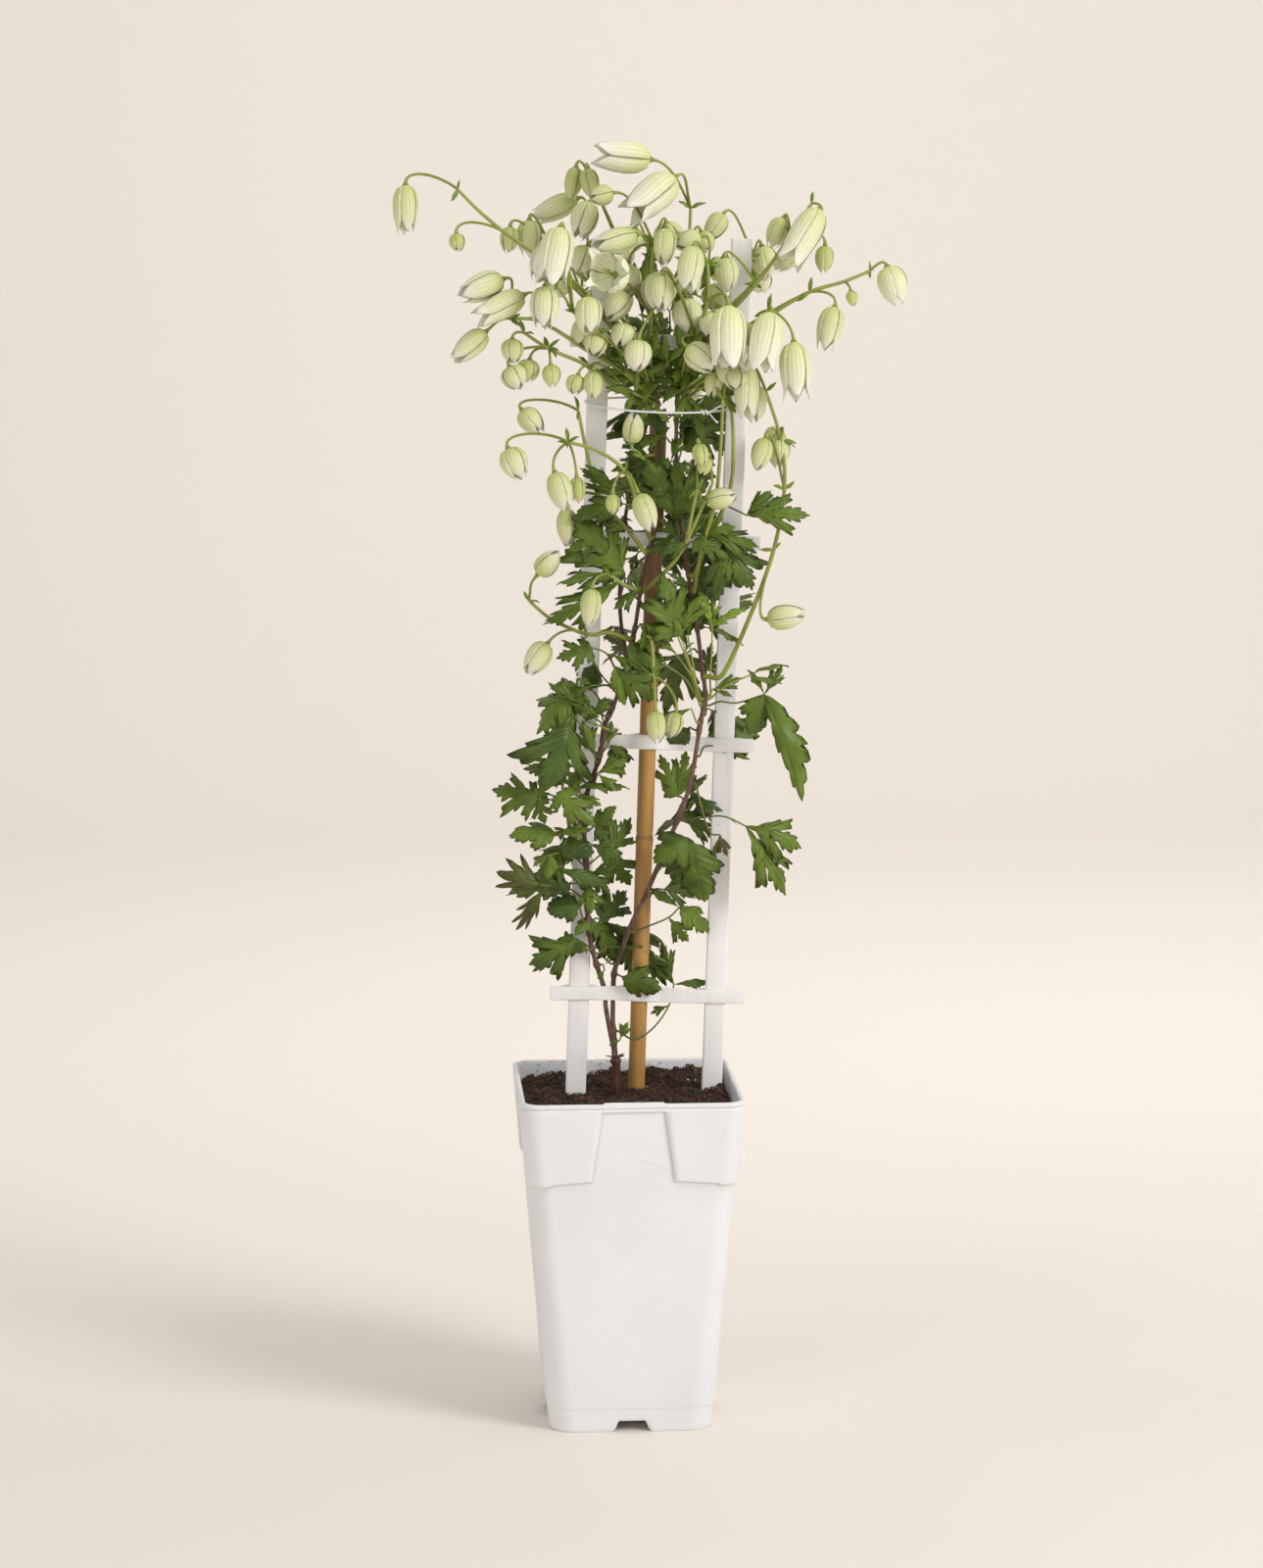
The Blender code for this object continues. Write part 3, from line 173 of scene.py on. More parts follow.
# Leaves. Each row: name, shoot and height of the foot on the shoot: the stalk's points: the blades,
# and where it differs from the rest, how young and how bronzed it is. A blade is the number of the
# stalk point that it grows from (0 is the shoot), its tip, its width for a length of one, the way
# that its face is turned where that isn't to the front, and its cut where it isn't a common one.
LEAVES = rows("""
low_left a 280: -29 286 -9: 1 -54 270 -14 .85, 1 -54 267 -8 .5, 1 -24 278 -16 .6: .15 0;
fan_left a 356: -33 364 -9, -45 372 -14, -52 369 -17: 3 -76 377 -20 1 hand, 3 -48 355 -18 .9 hand, 3 -44
    389 -14 .5 hand;
bronze_left a 311: -36 317 -18, -49 318 -23: 2 -73 327 -28 1.05 comb, 2 -62 291 -22 .5 comb: 0 .75;
mid_left a 336: -31 342 -9, -41 348 -15: 2 -67 350 -18 .8, 1 -54 324 -16 .85, 2 -23 353 -20 .6;
round_left a 297: -28 306 -8: 1 -46 304 -9 1.05 round;
inner_low a 292: -17 295 5: 1 -1 314 12 .85, 1 -7 270 8 .6;
inner_mid a 331: -13 338 8: 1 4 354 8 .9, 1 1 318 12 .9;
big_blue a 396: -24 408 -20, -32 420 -32: 2 -44 376 -38 1 fan;
seven_lobes a 423: -20 433 -12, -27 435 -13: 2 -54 412 -14 1 hand;
level_left a 371: -33 374 -11: 1 -1 378 -14 .45 U;
pair_mid a 441: -11 454 -15, -20 458 -18: 1 9 447 -22 .75 U, 2 -39 451 -22 .9: .12 0;
big_dark a 498: -2 499 -17: 1 -27 531 -26 .95 fan, 1 -42 470 -30 .42 fan, 1 -8 528 -14 .5 fan, 1 -35 500
    -34 .5 fan;
upper_left a 539: 6 541 -12, -2 542 -15: 2 -23 564 -18 .5, 2 -31 537 -24 .5;
blue_green b 524: 29 532 -13: 1 14 566 -20 .95 fan, 1 47 558 -10 .75 fan, 1 31 567 -22 .6 fan, 1 22 570
    -16 .5 fan;
right_upper b 550: 55 542 -14, 70 535 -22: 2 103 538 -32 .65 fan, 2 82 548 -28 .6 fan, 2 92 545 -20 .5
    fan;
right_dark b 507: 47 518 -12, 56 522 -13: 2 71 492 -18 1 fan, 2 56 486 -22 .6 fan, 2 77 515 -12 .45 fan;
fan_stalks b 426: 37 446 -15, 30 464 -17: 2 20 499 -24 .8, 2 41 489 -20 .6: .3 0;
node_left b 415: 38 422 -15: 1 15 411 -20 .55: .3 0;
pendants b 425: 55 426 -13, 65 425 -16, 81 430 -20: 3 74 407 -22 .9, 3 103 371 -34 .7 strap, 3 91 446
    -22 .5, 3 72 444 -18 .4: .25 0;
arched_right b 357: 42 357 -10, 57 358 -16, 70 352 -18: 3 102 342 -24 .75 fan, 3 93 312 -22 .6 fan;
lower_mid b 339: 37 345 -20: 1 17 333 -26 1.1 broad, 1 42 308 -24 .85 broad;
back_right b 365: 33 369 2, 30 370 8: 2 20 394 12 .55, 2 37 396 14 .55, 2 19 377 14 .6, 2 42 383 18 .4;
low_right b 291: 13 293 -10, 25 298 -8, 31 304 -8: 2 36 284 -12 .9, 3 49 291 -12 .85, 3 16 316 -9 .4;
over_rung b 264: -3 263 -4: 1 19 254 -7 .85;
seedling b 230: 5 225 -8, 16 232 -6, 25 245 5, 28 258 9: 4 19 281 12 .5, 4 48 258 8 .4, 4 14 270 15 .4,
    3 14 241 6 .5: .12 0;
crown_left c 602: 9 615 17, 0 623 19: 2 -24 644 22 .42, 1 5 642 17 .42: .2 0;
crown_right b 590: 39 596 -13: 1 61 613 -12 .42, 1 47 578 -18 .4: .2 0;
under_pair a 446: -7 447 -22: 1 16 427 -30 .8, 1 0 426 -26 .5;
behind_slat a 435: -14 441 -4, -19 449 0: 2 -23 428 2 .6, 2 -31 436 6 .5;
small_blue a 392: -19 395 -16: 1 -28 412 -20 .8, 1 -23 414 -24 .4;
pale_sheath a 405: -6 407 -18: 1 -24 414 -26 .3 U: .75 0;
hang_inner a 410: -8 408 4: 1 -3 382 2 .6;
round_mid a 361: -31 367 -18, -41 373 -24: 2 -21 352 -28 .7 hand;
small_mid a 344: -31 349 -4, -34 351 -6: 2 -42 348 -10 .8;
round_low a 331: -30 334 -14, -40 341 -18: 2 -21 338 -24 .75 round;
mid_inner a 338: -21 342 -14: 1 -4 336 -20 .85;
long_low a 316: -31 322 -14, -41 328 -18: 2 -13 317 -22 .45;
fan_low a 312: -22 320 -10: 1 -21 302 -14 .95;
curl_low a 293: -21 299 -2: 1 -30 289 -8 .6, 1 -16 287 -6 .7: .3 0;
behind_low a 290: -16 296 8: 1 -6 272 12 .6, 1 -16 280 10 .5;
tiny_low a 270: -13 267 0: 1 -17 262 -2 .8;
dark_under b 470: 44 470 -10: 1 68 462 -12 .28 U: 0 .15;
node_right b 429: 50 433 -12: 1 67 439 -16 .5, 1 62 430 -10 .3: .35 0;
young_right b 431: 49 439 -10, 50 458 -12, 50 470 -14: 3 43 490 -16 .45, 3 59 476 -18 .5, 3 69 483 -14
    .3, 3 52 487 -10 .5: .9 0;
knee_right b 363: 38 367 -6: 1 56 362 -10 .55;
thin_fan_a b 429: 38 441 -12, 29 454 -14: 2 18 464 -16 .5: .4 0;
thin_fan_b b 429: 39 442 -16, 33 461 -20: 2 28 474 -24 .45: .45 0;
thin_fan_c b 430: 40 442 -8, 36 464 -8: 2 37 486 -8 .5, 2 44 480 -4 .4: .3 0;
thin_fan_d b 428: 35 439 -10, 24 447 -10: 2 13 449 -12 .5, 2 16 456 -8 .4: .35 0;
mid_green a 493: 7 491 -14: 1 -7 483 -20 .7, 1 5 501 -10 .5: .2 0;
mid_right b 493: 35 492 -14: 1 14 483 -22 .6, 1 28 502 -20 .6: .12 0;
dark_mid b 507: 39 507 -2: 1 56 493 2 .75, 1 48 481 0 .6;
dark_gap a 516: 7 514 6: 1 1 504 8 .6, 1 -4 523 10 .6;
dark_in_a a 550: 14 552 6, 8 556 10: 2 -3 550 14 .8, 2 0 567 16 .6;
dark_in_b a 567: 14 568 2, 9 572 6: 2 -2 581 10 .8, 2 5 588 12 .6;
dark_in_c b 533: 31 536 6: 1 47 538 10 .7, 1 29 516 12 .8;
dark_in_d b 550: 36 549 4: 1 52 567 8 .55, 1 44 574 12 .5;
dark_in_e b 567: 32 573 4: 1 41 589 6 .6, 1 50 581 8 .5;
dark_in_f a 584: 16 588 6: 1 5 597 14 .7, 1 23 598 10 .6;
left_slat a 543: 5 550 -20, -7 548 -22: 2 -20 565 -26 .42;
left_dark a 527: 5 526 -14, 0 527 -16: 2 -14 531 -20 .6;
crown_a a 608: 12 619 -12, 7 631 -20: 2 0 645 -24 .42, 2 13 643 -18 .42: .28 0;
crown_b b 611: 34 623 -6, 41 634 -8: 2 52 646 -4 .42, 2 38 651 -12 .42: .28 0;
crown_c c 611: 18 625 20, 16 635 24: 2 4 651 28 .6, 2 25 649 26 .6: .2 0;
crown_d b 606: 39 611 -10: 1 58 620 -14 .42, 1 54 605 -8 .42: .28 0;
crown_e a 605: 6 611 -12: 1 -12 620 -14 .42, 1 -7 608 -10 .42: .28 0;
crown_f c 624: 25 641 16, 25 653 18: 2 12 670 16 .42, 2 34 669 20 .42, 2 50 681 14 .42: .28 0;
crown_g a 618: 12 634 -4, 9 651 -6: 2 7 680 -6 .4, 2 16 690 -4 .35: .28 0;
cover_a a 454: 0 459 -14: 1 20 449 -20 .8, 1 11 434 -22 .7: .15 0;
cover_c a 470: 8 472 -16: 1 27 464 -20 .8, 1 15 454 -18 .7: .1 0;
cover_f b 518: 29 523 -10: 1 13 516 -14 .8, 1 19 533 -12 .6;
cover_r b 523: 44 524 -14: 1 62 528 -24 .9, 1 76 520 -22 .5;
cover_s a 516: 0 518 -14, -12 521 -18: 2 -33 518 -24 .8;
knuckle b 224: -4 225 -8: 1 0 235 -10 .7, 1 -10 222 -10 .5: .3 0;
cover_g a 561: 26 567 -8: 1 39 558 -10 .7, 1 31 581 -10 .6;
cover_h b 578: 22 582 -6: 1 8 576 -10 .7, 1 14 594 -8 .6;
cover_i a 590: 28 595 -6: 1 42 596 -10 .6, 1 34 608 -8 .6;
cover_j a 543: 12 547 -10: 1 0 539 -14 .7, 1 13 561 -12 .6;
cover_k b 410: 37 411 -2: 1 24 398 0 .7;
cover_l a 378: -17 384 -12: 1 -2 392 -18 .7, 1 -6 374 -16 .6;
cover_n a 419: -19 423 -16, -27 426 -20: 2 -44 436 -24 .6;
fill_a a 411: -15 414 -14, -19 417 -18: 2 -30 427 -22 .7, 2 -12 429 -20 .6;
fill_b a 383: -24 385 -14, -29 387 -18: 2 -42 392 -24 .7, 2 -32 373 -22 .6;
fill_c a 351: -19 353 -10: 1 -8 363 -16 .7, 1 -10 344 -14 .7;
fill_d a 369: -27 372 -12: 1 -34 384 -18 .6, 1 -16 365 -18 .7;
fill_e a 322: -21 325 -6: 1 -8 329 -10 .7, 1 -10 313 -10 .7;
fill_f a 305: -26 309 -12, -34 314 -18: 2 -46 320 -24 .7;
fill_g a 337: -34 338 -14, -45 336 -20: 2 -55 331 -24 .7, 2 -46 322 -22 .7;
fill_h a 398: -11 401 0: 1 0 394 -2 .7, 1 -8 414 0 .6: .3 0;
fill_i a 433: -10 436 -14, -20 436 -18: 2 -36 429 -22 .5, 2 -28 441 -22 .5;
over_band b 518: 38 520 -22: 1 21 512 -28 .55, 1 60 512 -26 .5, 1 41 533 -26 .5: .1 0;
crown_h a 614: 14 625 -22: 1 5 641 -28 .42, 1 18 642 -26 .42, 1 0 626 -26 .42: .4 0;
crown_i b 611: 34 626 -22: 1 43 641 -28 .42, 1 31 644 -26 .42, 1 47 626 -24 .42: .4 0;
crown_j c 616: 24 623 -18: 1 21 638 -26 .42, 1 32 634 -26 .42, 1 14 618 -24 .42: .4 0;
crown_k a 601: 5 606 -20: 1 -10 611 -26 .42, 1 -2 596 -24 .42, 1 6 619 -24 .42: .4 0;
crown_l a 595: 16 600 -18: 1 6 590 -24 .42, 1 23 589 -22 .42: .4 0;
crown_m b 601: 36 604 -16: 1 47 593 -22 .42, 1 29 592 -22 .42: .4 0;
crown_n a 607: 0 618 -16: 1 -13 634 -20 .42, 1 -4 641 -22 .42, 1 -17 618 -20 .42: .4 0;
dead_curl b 378: 48 350 -14, 55 347 -20: 2 60 335 -24 .6, 2 52 334 -22 .4: 0 1;
curl_right b 429: 58 435 -16, 72 441 -20: 2 92 449 -24 .35 U, 2 90 435 -22 .3: .35 0;
tuft_right b 608: 46 609 -20, 58 604 -26: 2 64 595 -28 .5, 2 67 608 -26 .4: .35 0;
""")

# Flowers. Each row: name, shoot, height: the stem's points: the blooms. A bloom is the number of the
# stem point that its own stalk grows from, its neck, its mouth and its width.
BLOOMS = rows("""
bloom_far_left a 623: -3 638 -8, -27 664 -14, -48 683 -16, -68 697 -18, -84 710 -20, -97 723 -20: 6 -127
    726 -22 -127 699 -24 15, 4 -98 698 -24 -97 688 -26 9;
bloom_left_front a 616: 0 628 -22, -17 642 -32, -31 653 -40: 3 -38 702 -48 -44 669 -52 20, 3 -47 668 -48
    -48 644 -52 17, 2 -22 662 -42 -22 641 -46 16, 3 -42 691 -36 -51 671 -38 20, 2 -22 649 -20 -28 634 -18
    15;
bloom_left_back c 623: 0 646 24, -22 670 30, -42 685 32: 3 -56 706 34 -56 685 36 15, 3 -67 702 30 -68 687
    30 11, 2 -28 718 38 -53 707 44 15;
bloom_left_low a 609: -5 623 -14, -28 635 -20, -51 648 -24, -67 649 -26: 4 -71 672 -30 -95 663 -36 17, 3
    -59 663 -34 -86 649 -42 16, 4 -81 642 -28 -99 626 -32 15;
bloom_left_drop a 602: -3 610 -14, -22 622 -20, -45 632 -24, -59 641 -24: 4 -66 638 -26 -66 624 -27 13, 3
    -68 622 -28 -62 609 -30 15, 3 -44 623 -26 -43 610 -27 11, 2 -28 617 -24 -31 606 -25 11, 1 -19 619 -26
    -19 603 -28 12, 3 -56 626 -20 -58 613 -18 13;
bloom_top_left c 634: 9 663 20, -4 691 24, -16 719 26: 3 -29 736 28 -32 718 30 11, 3 -23 735 22 -19 718 20
    11, 2 -21 716 12 -28 696 6 16;
bloom_top b 625: 35 652 -3, 36 684 -1, 37 712 0: 3 14 740 0 -17 743 -4 20, 3 28 730 -12 2 709 -22 22;
bloom_top_mid a 627: 14 649 -12, 14 672 -18, 16 691 -20: 3 6 697 -22 -18 690 -28 15, 3 23 701 -24 21 680
    -28 13, 1 -7 674 -32 -13 677 -50 24, 3 -8 721 -14 -21 718 -18 12, 3 1 681 -6 -3 660 -8 19, 1 0 664 -18
    -12 649 -22 17;
bloom_front_mid b 618: 40 638 -22, 47 659 -34, 47 680 -40: 3 39 691 -44 35 665 -48 16, 2 59 657 -50 59 620
    -54 22, 1 21 674 -36 20 654 -40 15, 2 43 696 -16 29 691 -18 14, 1 34 661 -14 37 639 -16 19, 1 35 633
    -40 51 620 -46 16, 3 7 637 -34 6 619 -38 17, 1 21 676 -20 17 654 -22 21;
bloom_right_up c 628: 41 651 20, 58 673 26, 73 684 28: 3 56 709 24 47 695 20 13, 3 78 691 40 82 672 44 16;
bloom_right_arm b 622: 51 643 -8, 75 669 -10, 95 697 -10, 107 715 -12: 4 112 712 -14 94 681 -22 19, 3 91
    707 -4 84 690 -2 13, 2 99 690 6 86 677 10 14, 3 115 691 0 114 675 2 11, 2 57 684 -12 59 665 -15 15;
bloom_far_right b 614: 60 635 -16, 85 652 -20, 106 664 -22, 126 670 -24, 141 676 -25: 5 151 679 -26 158
    658 -28 18, 3 121 656 -26 115 631 -28 15, 4 130 665 -26 132 656 -27 7;
bloom_right_front b 608: 54 622 -24, 71 639 -34, 82 654 -42: 3 84 653 -50 77 619 -56 20, 3 97 636 -42 99
    603 -44 18, 2 58 627 -30 61 611 -32 16, 2 74 611 -24 74 590 -26 16, 2 66 644 -44 78 634 -44 13;
bloom_right_shoot b 442: 57 443 -14, 73 478 -16, 86 515 -18, 92 550 -18, 90 578 -18, 81 607 -20: 3 82 474
    -20 104 477 -24 15, 4 81 580 -24 76 562 -26 13, 5 90 585 -14 82 575 -10 13, 6 70 622 -30 70 593 -32
    16, 5 89 582 -14 88 563 -12 14;
bloom_small_right b 518: 36 525 -24, 41 550 -30: 2 47 543 -30 64 547 -34 13, 2 42 577 -36 44 564 -38 9;
bloom_lower_left a 523: 7 539 -22, -1 561 -28, -17 573 -30, -34 578 -32: 4 -69 575 -34 -61 557 -36 16, 4
    -42 561 -36 -35 539 -38 15, 4 -29 558 -30 -28 543 -30 9, 2 7 548 -38 15 527 -40 14, 2 -8 548 -34 -8
    536 -35 8;
bloom_mid_left a 515: 3 524 -12, -16 547 -8, -24 576 -10, -28 596 -14: 4 -61 597 -18 -50 584 -22 14, 2 -35
    540 -12 -34 518 -14 13;
bloom_low_left a 464: -10 467 -12, -23 466 -12, -44 475 -14, -57 486 -16: 4 -52 501 -18 -40 514 -20 14, 2
    -46 461 -20 -58 444 -24 15;
bloom_hang_left a 493: 0 494 -24, -10 501 -34: 2 -20 493 -42 -22 471 -44 13;
bloom_hang_mid a 461: 14 464 -20, 16 441 -28: 2 17 421 -30 18 402 -31 12, 2 29 420 -18 26 405 -18 11;
bloom_bud_mid a 563: 9 569 -18: 1 3 577 -20 5 595 -22 13;
spray_back_left c 623: 6 635 26, -11 653 38, -26 663 46: 3 -36 677 52 -42 662 56 17, 3 -24 685 50 -20 670
    54 16, 2 -16 646 44 -20 632 48 14;
spray_back_mid c 626: 21 646 28, 16 665 38, 14 684 44: 3 5 701 46 0 687 52 17, 3 23 704 48 26 688 54 18, 2
    29 669 46 34 654 52 15, 2 0 665 44 -7 652 50 15;
spray_back_right c 624: 35 638 28, 51 654 38, 64 665 44: 3 74 680 48 79 664 52 17, 3 56 684 48 54 669 54
    16, 2 58 646 44 64 631 50 15;
spray_back_low c 607: 16 611 26, 8 620 38, -2 625 46: 3 -11 620 52 -15 606 56 14, 2 13 623 46 14 607 52
    13;
spray_back_low_right c 605: 29 609 28, 43 618 40, 55 621 46: 3 63 615 50 65 600 54 14, 2 39 616 46 37 600
    52 13;
spray_stem_right_a b 493: 44 516 -16, 52 544 -24, 55 578 -28, 56 602 -30: 4 62 622 -34 64 608 -36 14;
spray_stem_right_b b 501: 47 520 -12, 60 549 -18, 62 578 -22, 60 604 -24: 4 53 618 -26 49 604 -28 12;
spray_stem_mid a 493: 29 510 -20, 41 533 -26, 50 554 -30: 3 47 569 -32 44 559 -32 9;
spray_inner_top b 623: 34 644 8, 37 663 12, 34 681 14: 3 29 697 12 18 690 10 14, 2 47 668 16 56 653 20 15,
    3 43 699 16 47 687 18 13;
spray_inner_mid c 618: 27 634 4, 29 651 0, 25 665 -4: 3 16 671 -8 12 656 -12 17, 3 34 677 -6 39 663 -10
    15, 2 43 653 -4 47 639 -8 15;
spray_inner_low a 615: 9 625 -14, 0 634 -20, -7 637 -22: 3 -16 641 -24 -20 628 -26 14, 2 0 646 -26 -4 633
    -30 15;
spray_inner_right b 616: 41 628 -12, 50 638 -18, 58 643 -20: 3 66 646 -22 71 634 -24 14, 2 51 652 -24 47
    638 -28 16;
spray_inner_left a 622: 6 638 6, -3 656 10, -10 674 12: 3 -22 691 14 -27 676 16 17, 2 -13 653 12 -20 641
    14 15, 3 -4 693 16 0 679 18 15;
""")

# Half outlines of the blades, from foot to tip, for a length of one: how far up the rib the vein to
# this point leaves, the point's place up and out, and how strong that vein is.
OUTLINES = dict(rows("""
fan: 0 0 0 0, .12 .22 .08 0, .18 .37 .25 .4, .2 .41 .22 0, .23 .52 .41 .6, .25 .56 .36 0, .28 .72 .56 1,
    .31 .7 .4 0, .34 .77 .35 .5, .37 .7 .27 0, .42 .45 .09 0, .52 .63 .13 0, .56 .73 .22 .5, .6 .74 .15
    0, .68 .87 .18 .6, .74 .86 .1 0, .86 .94 .07 .4, .9 .93 .04 0, 1 1 0 1;
broad: 0 0 0 0, .05 .08 .1 0, .1 .17 .29 .4, .12 .19 .28 0, .16 .31 .44 .6, .18 .34 .42 0, .23 .49 .54
    1, .26 .51 .46 0, .3 .6 .43 .5, .33 .59 .37 0, .38 .46 .21 0, .47 .6 .28 .3, .5 .61 .25 0, .56 .75
    .31 .7, .6 .76 .24 0, .7 .88 .2 .5, .76 .88 .13 0, .88 .97 .08 .4, .91 .96 .04 0, 1 1 0 1;
hand: 0 0 0 0, .03 .04 .11 0, .05 .04 .28 .3, .06 .08 .26 0, .08 .1 .5 .8, .1 .17 .38 0, .12 .28 .42 .4,
    .13 .26 .32 0, .16 .22 .15 0, .2 .34 .22 0, .22 .43 .38 .4, .24 .47 .34 0, .27 .66 .56 1, .3 .64 .4
    0, .33 .72 .34 .4, .35 .66 .27 0, .4 .46 .09 0, .5 .64 .13 0, .55 .75 .22 .5, .59 .76 .14 0, .7 .88
    .15 .5, .76 .87 .08 0, 1 1 0 1;
round: 0 0 0 0, .04 .05 .18 0, .08 .1 .36 .5, .1 .15 .33 0, .14 .27 .5 1, .17 .32 .45 0, .2 .43 .5 .5,
    .24 .46 .41 0, .3 .47 .31 0, .42 .65 .39 .7, .46 .67 .32 0, .56 .8 .32 .5, .6 .81 .23 0, .74 .93 .17
    .5, .78 .94 .1 0, 1 1 0 1;
comb: 0 0 0 0, .1 .2 .08 0, .14 .38 .26 .4, .16 .4 .25 0, .2 .64 .46 1, .23 .6 .36 0, .26 .46 .19 0, .32
    .66 .25 0, .38 .9 .34 1, .42 .85 .25 0, .5 .66 .1 0, .7 .84 .09 0, 1 1 0 1;
narrow: 0 0 0 0, .14 .25 .12 0, .24 .44 .3 .4, .27 .47 .28 0, .34 .62 .4 .8, .38 .64 .33 0, .46 .74 .3
    .4, .5 .73 .24 0, .6 .86 .22 .6, .68 .86 .14 0, 1 1 0 1;
strap: 0 0 0 0, .08 .12 .12 0, .16 .24 .22 .4, .2 .26 .18 0, .28 .38 .29 .4, .32 .4 .23 0, .42 .53 .31
    .4, .46 .55 .23 0, .58 .69 .27 .4, .62 .7 .18 0, .76 .84 .18 .4, .8 .85 .09 0, 1 1 0 1;
spear: 0 0 0 0, .3 .3 .38 0, .66 .66 .38 0, 1 1 0 1;
"""))
# How far towards the edge each row of a blade's grid lies, closer together beside the rib.
ROWS = np.array([0, 0.06, 0.3, 0.65, 1])[:, None]


def seen(across, up, depth):
    """The point at this depth that lines up, from the eye, with (across, up) on the pot's plane."""
    on_plane = np.array([across, 0.0, up])
    return EYE + (on_plane - EYE) * ((depth - EYE[1]) / -EYE[1])


def unit(vectors):
    """Vectors divided by their lengths, along the last axis."""
    lengths = np.linalg.norm(vectors, axis=-1, keepdims=True)
    return vectors / np.maximum(lengths, 1e-9)


def joined(*parts):
    """The parts, each spread over the others' shape, side by side along a last axis."""
    return np.stack(np.broadcast_arrays(*parts), -1)


def steps(count):
    """The ends of this many equal steps from 0 to 1."""
    return np.linspace(0, 1, count + 1)[1:]


def ease(x):
    """0 below 0, 1 above 1, and 3x^2 - 2x^3 between."""
    x = np.clip(x, 0, 1)
    return x * x * (3 - 2 * x)


def bump(x, width):
    """A round hill of height 1 at x = 0: exp(-(x / width)^2)."""
    return np.exp(-(x / width) ** 2)


def curve_through(points, step):
    """Catmull-Rom curve: (2b + (c-a)t + (2a-5b+4c-d)t^2 + (3b-a-3c+d)t^3) / 2 for each span b-c."""
    points = np.array(points, float)
    spans = len(points) - 1
    length = np.linalg.norm(np.diff(points, axis=0), axis=1).sum()
    u = np.linspace(0, spans, max(int(length / step), 3 * spans) + 1)
    i = np.minimum(u.astype(int), spans - 1)
    t = (u - i)[:, None]
    a, b = points[np.maximum(i - 1, 0)], points[i]
    c, d = points[i + 1], points[np.minimum(i + 2, spans)]
    return 0.5 * (2 * b + (c - a) * t + (2 * a - 5 * b + 4 * c - d) * t**2
                  + (3 * b - a - 3 * c + d) * t**3)


def bezier(a, b, c, d):
    """Cubic Bezier at sixteen points: a(1-t)^3 + 3b(1-t)^2 t + 3c(1-t)t^2 + d t^3."""
    t = np.linspace(0, 1, 16)[:, None]
    return a * (1 - t)**3 + 3 * b * (1 - t)**2 * t + 3 * c * (1 - t) * t**2 + d * t**3


def noise(points, scale, seed):
    """Smooth noise about 0: four sine products of turned coordinates, each finer and fainter."""
    total = 0
    for octave in range(4):
        turn = np.random.default_rng(seed * 10 + octave).normal(size=(3, 3))
        phase = np.random.default_rng(seed * 10 + octave + 5).uniform(0, 2 * pi, 3)
        waves = np.sin(points @ unit(turn).T * (2**octave / scale) + phase)
        total = total + waves.prod(axis=-1) / 1.6**octave
    return total


def painted(shape, *values):
    """Marks for a grid of this shape: up to four values, or arrays that spread over it."""
    marks = np.zeros((*shape, 4))
    for k, value in enumerate(values):
        marks[..., k] = value
    return marks


class Sheet:
    """A grid of points, one marks colour for each, and the number of its material."""

    def __init__(self, points, marks=(0, 0, 0, 0), slot=0, wrap=False, flip=False):
        self.points = np.asarray(points, float)
        high, wide = self.points.shape[:2]
        self.marks = np.broadcast_to(np.asarray(marks, float), (high, wide, 4))
        self.slot = slot
        low = np.arange(high - 1)[:, None] * wide
        left = np.arange(wide if wrap else wide - 1)
        right = (left + 1) % wide
        quads = joined(low + left, low + right, low + wide + right, low + wide + left).reshape(-1, 4)
        self.quads = quads[:, ::-1] if flip else quads
        self.uv = joined(np.linspace(0, 1, wide), np.linspace(0, 1, high)[:, None])


def placed(name, data):
    """A new object of this name that holds the data, linked into the scene."""
    made = bpy.data.objects.new(name, data)
    bpy.context.scene.collection.objects.link(made)
    return made


def enter(name, mesh, materials, replaced):
    """Make a mesh one piece of the part, which stands in for the solids that it replaces."""
    for material in materials:
        mesh.materials.append(material)
    piece = placed(name, mesh)
    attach(piece, BODY)
    if replaced:
        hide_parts(*replaced)


def build(name, sheets, materials, replaced):
    """All the sheets in one mesh, in metres at their place; ends that meet are merged."""
    starts = np.cumsum([0] + [sheet.points.shape[0] * sheet.points.shape[1] for sheet in sheets])
    points = np.concatenate([sheet.points.reshape(-1, 3) for sheet in sheets])
    quads = np.concatenate([sheet.quads + start for sheet, start in zip(sheets, starts)])
    uv = np.concatenate([sheet.uv.reshape(-1, 2) for sheet in sheets])
    marks = np.concatenate([sheet.marks.reshape(-1, 4) for sheet in sheets])
    slots = np.concatenate([np.full(len(sheet.quads), sheet.slot) for sheet in sheets])
    mesh = bpy.data.meshes.new(name)
    mesh.vertices.add(len(points))
    mesh.vertices.foreach_set("co", ((points + POT_PLACE) * MM).ravel())
    mesh.loops.add(quads.size)
    mesh.loops.foreach_set("vertex_index", quads.ravel().astype(np.int32))
    mesh.polygons.add(len(quads))
    mesh.polygons.foreach_set("loop_start", np.arange(0, quads.size, 4, dtype=np.int32))
    mesh.polygons.foreach_set("material_index", slots.astype(np.int32))
    mesh.uv_layers.new(name="grid").data.foreach_set("uv", uv[quads.ravel()].ravel())
    paint = mesh.color_attributes.new("marks", "FLOAT_COLOR", "POINT")
    paint.data.foreach_set("color", marks.ravel())
    mesh.update(calc_edges=True)
    bm = bmesh.new()
    bm.from_mesh(mesh)
    bmesh.ops.remove_doubles(bm, verts=bm.verts, dist=2e-6)
    bm.to_mesh(mesh)
    bm.free()
    mesh.shade_smooth()
    enter(name, mesh, materials, replaced)


